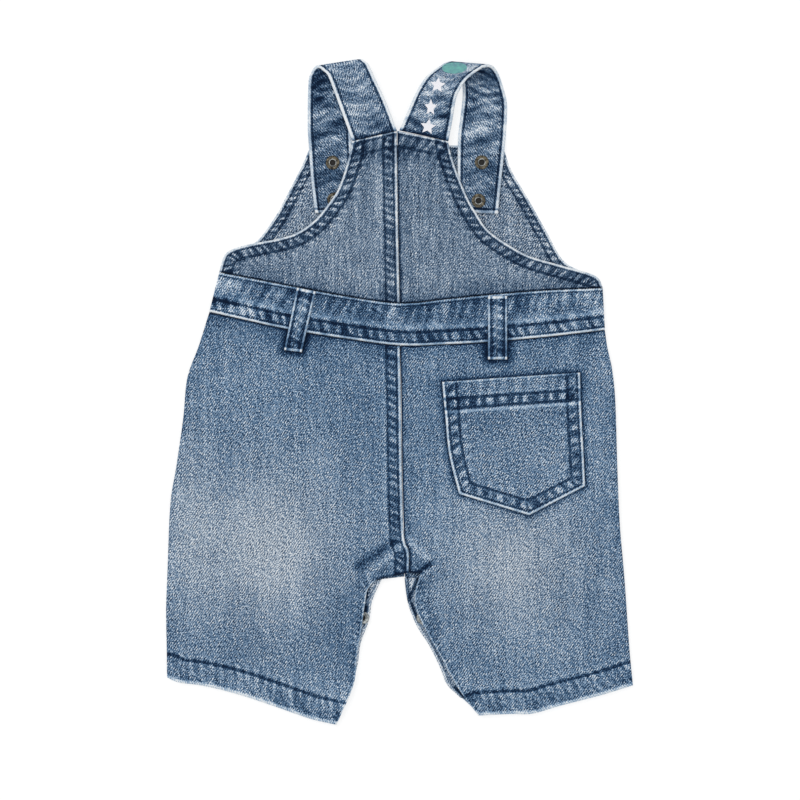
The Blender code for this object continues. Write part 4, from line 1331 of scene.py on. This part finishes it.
def strap(name, up, down, reach, seed, fades, mottles):
    """A strap of double cloth: up from the bib, over, and down on the front bib. Its fades and
    the strength of its blotches are given before and after the fold."""
    sections = smooth_curve(list(up) + fold_over(up[-1], down[0], reach) + list(down))
    sections[0, :4] += (sections[0, :4] - sections[1, :4]) * START_LAP
    share = np.linspace(0.0, 1.0, STRAP_COLUMNS + 1)
    x, y, z = (np.outer(sections[:, left], 1 - share) + np.outer(sections[:, right], share)
               for left, right in ((0, 2), (1, 3), (4, 5)))
    middle = with_rims(in_space(x, y, np.maximum(z, LOW_STRAP)))
    steps = np.linalg.norm(np.diff(middle, axis=0), axis=2).mean(axis=1)
    along = np.concatenate([[0.0], np.cumsum(steps)])
    along = np.repeat(along[:, None], middle.shape[1], axis=1)
    widths = np.linalg.norm(np.diff(middle, axis=1), axis=2)
    across = np.concatenate([np.zeros((len(middle), 1)), np.cumsum(widths, axis=1)], axis=1)
    width = across[:, -1:]
    side_away = np.minimum(across, width - across)
    end_away = along[-1:] - along
    inside = np.clip(side_away / PLAIN_SIDE, 0.0, 1.0)
    blotches = clouded(along, across, STRAP_CLOUDS, seed)

    normal = np.cross(np.gradient(middle, axis=1), np.gradient(middle, axis=0))
    normal /= np.linalg.norm(normal, axis=2, keepdims=True)
    edge_away = np.minimum(np.minimum(side_away, end_away), along + START_ROUND)
    half = normal * (STRAP_CLOTH / 2 * rounding(edge_away))[..., None]
    shaped = middle + normal * (BLOTCH_RISE * blotches * inside)[..., None]
    lower = shaped - half
    upper = shaped + half
    for face in (lower, upper):
        face[..., 2] = np.maximum(face[..., 2], ABOVE_FLOOR)

    first_row = len(RIM_SHARES)
    crest = along[first_row + (2 * len(up) + FOLD_STEPS - 1) * CURVE_SAMPLES // 2]
    rolled = along[first_row + (len(up) + FOLD_STEPS - 1) * CURVE_SAMPLES]
    turned = step_up(along - crest, FADE_SOFTNESS)
    faded = fades[0] + (fades[1] - fades[0]) * turned
    mottle = (mottles[0] + (mottles[1] - mottles[0]) * turned) * blotches
    # Painted shade inside the fold, in darker and lighter arcs
    past = along - rolled + FOLD_ARC_BOW * (across - width / 2) ** 2
    fold_shade_arcs = FOLD_SHADE + FOLD_ARCS * np.sin(2 * math.pi * past / FOLD_ARC_STEP)
    fold_shade_arcs = fold_shade_arcs * swell(along - rolled - FOLD_SHADE_AT, FOLD_SHADE_REACH)
    # The fold's crest is rubbed pale, with painted shade beside it
    crest_and_shade = bands(np.abs(along - crest), FOLD_CREST_AND_SHADE)
    none = np.zeros_like(across)
    channels = {
        "cloth": in_space(across, along, none),
        "edge": in_space(side_away, along, none),
        "end": in_space(end_away, across, none),
        "tone": (mottle * (SIDE_SHOW + (1 - SIDE_SHOW) * inside) + (fold_shade_arcs + crest_and_shade) * inside
                 + bands(along, START_SHADOW) + faded),
        "wash": none + STRAP_WASH,
    }
    look = {"base": 0.48, "weave": 0.70, "lines": {
        "edge": (STRAP_ROWS, (STRAP_BEADS, 6.0, 0.4)),
        "end": (STRAP_ROWS,)}}
    piece = shell(name + "_cloth", lower, upper, channels, denim(name, look, ["edge", "end"]))
    turn_outwards(piece)

    rows = np.arange(len(across))
    for row_away in (np.full(len(across), STRAP_ROW), across[:, -1] - STRAP_ROW):
        column = (across < row_away[:, None]).sum(axis=1)
        before = across[rows, column - 1]
        part = ((row_away - before) / (across[rows, column] - before))[:, None]
        for face, out, seen in ((upper, normal, slice(SEWN_FROM, FOLD_ROW)),
                                (lower, -normal, slice(FOLD_ROW, SEWN_TO))):
            line, above = (table[rows, column - 1] * (1 - part) + table[rows, column] * part
                           for table in (face, out))
            strap_rows.append((piece, line[seen], above[seen]))
    flat = (float(width.mean()) * MM, float(along.max()) * MM)
    dress((piece, flat, None), name, "denim_strap", "front_bib_cloth")


def turn_outwards(piece):
    """Turn a closed shell's faces outwards if they point inwards."""
    volume = 0.0
    vertices = piece.data.vertices
    for face in piece.data.polygons:
        first, second, third = (vertices[i].co for i in face.vertices[:3])
        volume += first.dot(second.cross(third))
        if len(face.vertices) == 4:
            volume += first.dot(third.cross(vertices[face.vertices[3]].co))
    if volume < 0.0:
        piece.data.flip_normals()


def on_top(tree, x, y, reach=0.2):
    """The point of a piece that lies on top at a place, in metres."""
    return tree.ray_cast(Vector((x, y, reach)), Vector((0.0, 0.0, -1.0)))[0]


def tree_of(piece):
    """A piece's faces, for finding points on them."""
    return BVHTree.FromPolygons([vertex.co for vertex in piece.data.vertices],
                                [tuple(face.vertices) for face in piece.data.polygons])


def set_in(line, away, side):
    """A line moved sideways, without the parts that would lie too close to it at its corners."""
    step = np.gradient(line, axis=0)
    step /= np.maximum(np.linalg.norm(step, axis=1, keepdims=True), 1e-9)
    shifted = line + np.column_stack([-step[:, 1], step[:, 0]]) * away * side
    gap, _ = distances(shifted[:, 0], shifted[:, 1], [line])
    return shifted[gap > away - CORNER_CLEAR]


def stitch_places(line):
    """The start and end of each stitch along a line of points."""
    steps = np.linalg.norm(np.diff(line, axis=0), axis=1)
    along = np.concatenate([[0.0], np.cumsum(steps)])
    starts = np.arange(STITCH_START, along[-1] - STITCH_LENGTH, STITCH_PITCH)
    ends = starts + STITCH_LENGTH
    return tuple(np.column_stack([np.interp(where, along, column) for column in line.T])
                 for where in (starts, ends))


def thread_template():
    """One stitch, a short bead of thread along X that is one unit long."""
    bpy.ops.mesh.primitive_uv_sphere_add(segments=6, ring_count=4, radius=0.5)
    bead = bpy.context.object
    bpy.ops.object.mode_set(mode="EDIT")
    bpy.ops.mesh.select_all(action="SELECT")
    bpy.ops.transform.rotate(value=math.pi / 2, orient_axis="Y", center_override=(0.0, 0.0, 0.0))
    bpy.ops.object.mode_set(mode="OBJECT")
    shape = np.array([vertex.co for vertex in bead.data.vertices])
    faces = [list(face.vertices) for face in bead.data.polygons]
    bpy.data.objects.remove(bead, do_unlink=True)
    return shape, faces


def threads(name, stitches, material):
    """All the stitches of one piece of cloth as one mesh: each has a start, an end and a normal."""
    shape, faces = thread_shape
    places = []
    all_faces = []
    for start, end, above in stitches:
        length = np.linalg.norm(end - start)
        run_along = (end - start) / length
        sideways = np.cross(above, run_along)
        sideways /= np.linalg.norm(sideways)
        upwards = np.cross(run_along, sideways)
        offset = len(places) * len(shape)
        places.append((start + end) / 2 + upwards * THREAD_LIFT + shape[:, :1] * run_along * length
                      + shape[:, 1:2] * sideways * THREAD_WIDE + shape[:, 2:3] * upwards * THREAD_HIGH)
        all_faces.extend([[index + offset for index in face] for face in faces])
    mesh = bpy.data.meshes.new(name)
    mesh.from_pydata(np.concatenate(places).tolist(), [], all_faces)
    mesh.shade_smooth()
    mesh.materials.append(material)
    piece = put(name, mesh)
    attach(piece, "root")
    return piece


def row_on_cloth(tree, line):
    """The stitches of one row that lies on a panel of cloth."""
    found = []
    for start, end in zip(*stitch_places(line)):
        low = on_top(tree, *((start - CENTRE) * MM))
        high = on_top(tree, *((end - CENTRE) * MM))
        if low and high and (high - low).length < STITCH_STRETCH * STITCH_LENGTH * MM:
            found.append((np.array(low), np.array(high), np.array((0.0, 0.0, 1.0))))
    return found


def sew_all():
    """The stitched rows of every piece of cloth, each on the side of its seam that holds more."""
    stitches = {}
    for piece, line, offsets in rows_to_sew:
        tree = tree_of(piece)
        for away in offsets:
            tries = [row_on_cloth(tree, set_in(np.array(line), away, turn)) for turn in (-1, 1)]
            stitches.setdefault(piece.name, []).extend(max(tries, key=len))
    for piece, line, above in strap_rows:
        for start, end in zip(*stitch_places(line)):
            nearest = np.argmin(np.linalg.norm(line - start, axis=1))
            stitches.setdefault(piece.name, []).append((to_frame(start), to_frame(end), above[nearest]))
    material = thread_material()
    for sheet in sheets:
        name = sheet[0].name
        if name in stitches:
            sheet[4].append(threads(name.replace("_cloth", "_stitching"), stitches[name], material))


def thread_material():
    """Dark blue sewing thread, unevenly faded."""
    material, tree = new_finish("sewing_thread", {"Roughness": 0.7, "Specular IOR Level": 0.2})
    fade = calc(tree, "ADD", own_noise(tree, THREAD_CLOUDS), THREAD_TONE)
    show(tree, dye(tree, fade, DEEP))
    return material


def print_material(name, colour, wear):
    """Ink on denim, worn through where the twill stands proud."""
    material, tree = new_finish(name, {"Roughness": 0.75, "Specular IOR Level": 0.2})
    grain = own_noise(tree, INK_GRAIN)
    worn = total(tree, (grain, wear), (own_noise(tree, INK_CLOUDS), wear), (1.0, 0.5 * wear - INK_LEFT))
    worn = calc(tree, "MAXIMUM", worn, 0.0)
    show(tree, mixed(tree, worn, colour_of(colour), colour_of(WORN_DENIM)), grain, INK_BUMP, 0.6)
    return material


def lay_print(name, outline, cloth_piece, material):
    """A thin printed shape laid on the cloth: its outline in millimetres, filled and set down."""
    bpy.ops.object.select_all(action="DESELECT")
    bpy.ops.mesh.primitive_circle_add(vertices=len(outline), radius=MM, fill_type="NGON")
    piece = bpy.context.object
    piece.name = name
    for vertex, (x, y) in zip(piece.data.vertices, outline):
        vertex.co = to_frame((x, y, 0.0))
    bpy.ops.object.mode_set(mode="EDIT")
    bpy.ops.mesh.select_all(action="SELECT")
    bpy.ops.mesh.quads_convert_to_tris(quad_method="BEAUTY", ngon_method="BEAUTY")
    bpy.ops.mesh.subdivide(number_cuts=PRINT_CUTS)
    bpy.ops.mesh.normals_make_consistent(inside=False)
    bpy.ops.object.mode_set(mode="OBJECT")
    tree = tree_of(cloth_piece)
    for vertex in piece.data.vertices:
        on_cloth = on_top(tree, vertex.co.x, vertex.co.y)
        if on_cloth is None:
            on_cloth = tree.find_nearest(Vector((vertex.co.x, vertex.co.y, PRINT_SEARCH)))[0]
        vertex.co = on_cloth + Vector((0.0, 0.0, PRINT_LIFT))
    if sum(face.normal.z * face.area for face in piece.data.polygons) < 0.0:
        piece.data.flip_normals()
    ink = piece.modifiers.new("Ink", "SOLIDIFY")
    ink.thickness = PRINT_THICK
    ink.offset = 1.0
    bpy.ops.object.modifier_apply(modifier="Ink")
    bpy.ops.object.shade_flat()
    piece.data.materials.append(material)
    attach(piece, "root")
    for sheet in sheets:
        if sheet[0] == cloth_piece:
            sheet[4].append(piece)


def prints_on_strap():
    """Three stars and a plain oval printed on the right strap."""
    strap_cloth = bpy.data.objects["strap_right_cloth"]
    ink = print_material("star_ink", *STAR_INK)
    for number, (x, y, half_width, half_height, tilt) in enumerate(STARS, start=1):
        outline = []
        for corner in range(10):
            turn = math.pi / 2 + corner * math.pi / 5 + tilt
            out = 1.0 if corner % 2 == 0 else STAR_WAIST
            outline.append((x + half_width * out * math.cos(turn), y + half_height * out * math.sin(turn)))
        lay_print(f"star_print_{number}", outline, strap_cloth, ink)
    x, y, half_width, half_height = OVAL
    outline = [(x + half_width * math.cos(turn), y + half_height * math.sin(turn))
               for turn in np.linspace(0.0, 2 * math.pi, OVAL_POINTS, endpoint=False)]
    lay_print("oval_print", outline, strap_cloth, print_material("oval_ink", *OVAL_INK))


def metal_material(name, dark, bright):
    """Darkened metal, rubbed brighter here and there."""
    material, tree = new_finish(name, {"Metallic": 0.6, "Roughness": 0.42})
    patina = calc(tree, "ADD", own_noise(tree, PATINA_SCALE), 0.5)
    stops = ((PATINA_DARK, colour_of(dark)), (PATINA_BRIGHT, colour_of(bright)))
    show(tree, ramp(tree, patina, stops), patina, PATINA_BUMP, 0.5)
    return material


def snaps():
    """The snap backs: a rolled ring, a sunk ledge and a raised collar, painted pale as a highlight, round
    a socket painted black as the shade in its hollow.
    """
    brass = metal_material("antique_brass_worn", *BRASS)
    pale_and_highlight = metal_material("antique_brass_pale", *PALE_BRASS_AND_HIGHLIGHT)
    socket, _ = new_finish("snap_socket_shade", {"Base Color": SOCKET_SHADE_BLACK, "Roughness": 0.8})
    bpy.ops.object.select_all(action="DESELECT")
    bpy.ops.mesh.primitive_circle_add(vertices=SNAP_SIDES, radius=1.0, fill_type="NGON")
    model = bpy.context.object
    bpy.ops.object.mode_set(mode="EDIT")
    bpy.ops.mesh.select_all(action="SELECT")
    bpy.ops.mesh.extrude_region_move(TRANSFORM_OT_translate={"value": (0.0, 0.0, SNAP_BASE)})
    for inset, climb in SNAP_STEPS:
        bpy.ops.mesh.inset(thickness=inset, depth=climb, use_even_offset=True)
    bpy.ops.mesh.select_all(action="SELECT")
    bpy.ops.mesh.normals_make_consistent(inside=False)
    bpy.ops.object.mode_set(mode="OBJECT")
    bpy.ops.object.shade_smooth_by_angle(angle=math.radians(SNAP_SMOOTH))
    for material in (brass, socket, pale_and_highlight):
        model.data.materials.append(material)
    # Socket faces take the black of painted shade, collar faces the pale of a painted highlight
    for face in model.data.polygons:
        reach = max(math.hypot(*model.data.vertices[i].co.xy) for i in face.vertices)
        if reach < SNAP_SHADED_SOCKET and face.center.z > 0.0:
            face.material_index = 1
        elif reach < SNAP_HIGHLIGHT_COLLAR and face.center.z > 0.0:
            face.material_index = 2
    for name, (x, y, radius, seat) in SNAPS.items():
        piece = put(name + "_ring", model.data.copy())
        piece.data.materials[0] = pale_and_highlight if name.startswith("inseam") else brass
        for vertex in piece.data.vertices:
            out_x, out_y, up = vertex.co
            vertex.co = to_frame((x + out_x * radius, y + out_y * radius, seat + GAP + up))
        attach(piece, "root")
        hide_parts(name)
    bpy.data.objects.remove(model, do_unlink=True)


def floor_and_light():
    """The pale floor, the soft light and the camera straight above."""
    bpy.ops.mesh.primitive_plane_add(size=FLOOR_SIZE, location=(0.0, 0.0, -FLOOR_DROP))
    floor = bpy.context.object
    floor.name = "floor"
    paper, _ = new_finish("floor_paper", {
        "Base Color": FLOOR_GREY, "Roughness": 0.9, "Specular IOR Level": 0.1,
        "Emission Color": WHITE, "Emission Strength": FLOOR_GLOW})
    floor.data.materials.append(paper)

    world = bpy.data.worlds.new("studio")
    world.use_nodes = True
    world.node_tree.nodes["Background"].inputs["Color"].default_value = WHITE
    world.node_tree.nodes["Background"].inputs["Strength"].default_value = WORLD_LIGHT
    bpy.context.scene.world = world
    for name, place_at, size, power in LAMPS:
        lamp = put(name, bpy.data.lights.new(name, "AREA"))
        lamp.data.size = size
        lamp.data.energy = power
        lamp.location = place_at
        lamp.rotation_euler = (-Vector(place_at)).to_track_quat("-Z", "Y").to_euler()

    camera = put("camera", bpy.data.cameras.new("camera"))
    camera.data.sensor_width = SENSOR
    camera.data.lens = LENS
    camera.location = (*VIEW_CENTRE, VIEW_WIDTH / SENSOR * LENS + VIEW_LIFT)
    bpy.context.scene.camera = camera
    bpy.context.scene.view_settings.view_transform = "Standard"


bpy.ops.object.select_all(action="DESELECT")
thread_shape = thread_template()
rows_to_sew = []
strap_rows = []
sheets = []
floor_and_light()
front_bib()
front_legs()
inseam_facings()
back_legs()
waistband()
back_bib()
strap("strap_left", STRAP_LEFT_UP, STRAP_LEFT_DOWN, FOLD_REACH_LEFT, *STRAP_LEFT_LOOK)
strap("strap_right", STRAP_RIGHT_UP, STRAP_RIGHT_DOWN, FOLD_REACH_RIGHT, *STRAP_RIGHT_LOOK)
pocket()
belt_loops()
sew_all()
prints_on_strap()
snaps()
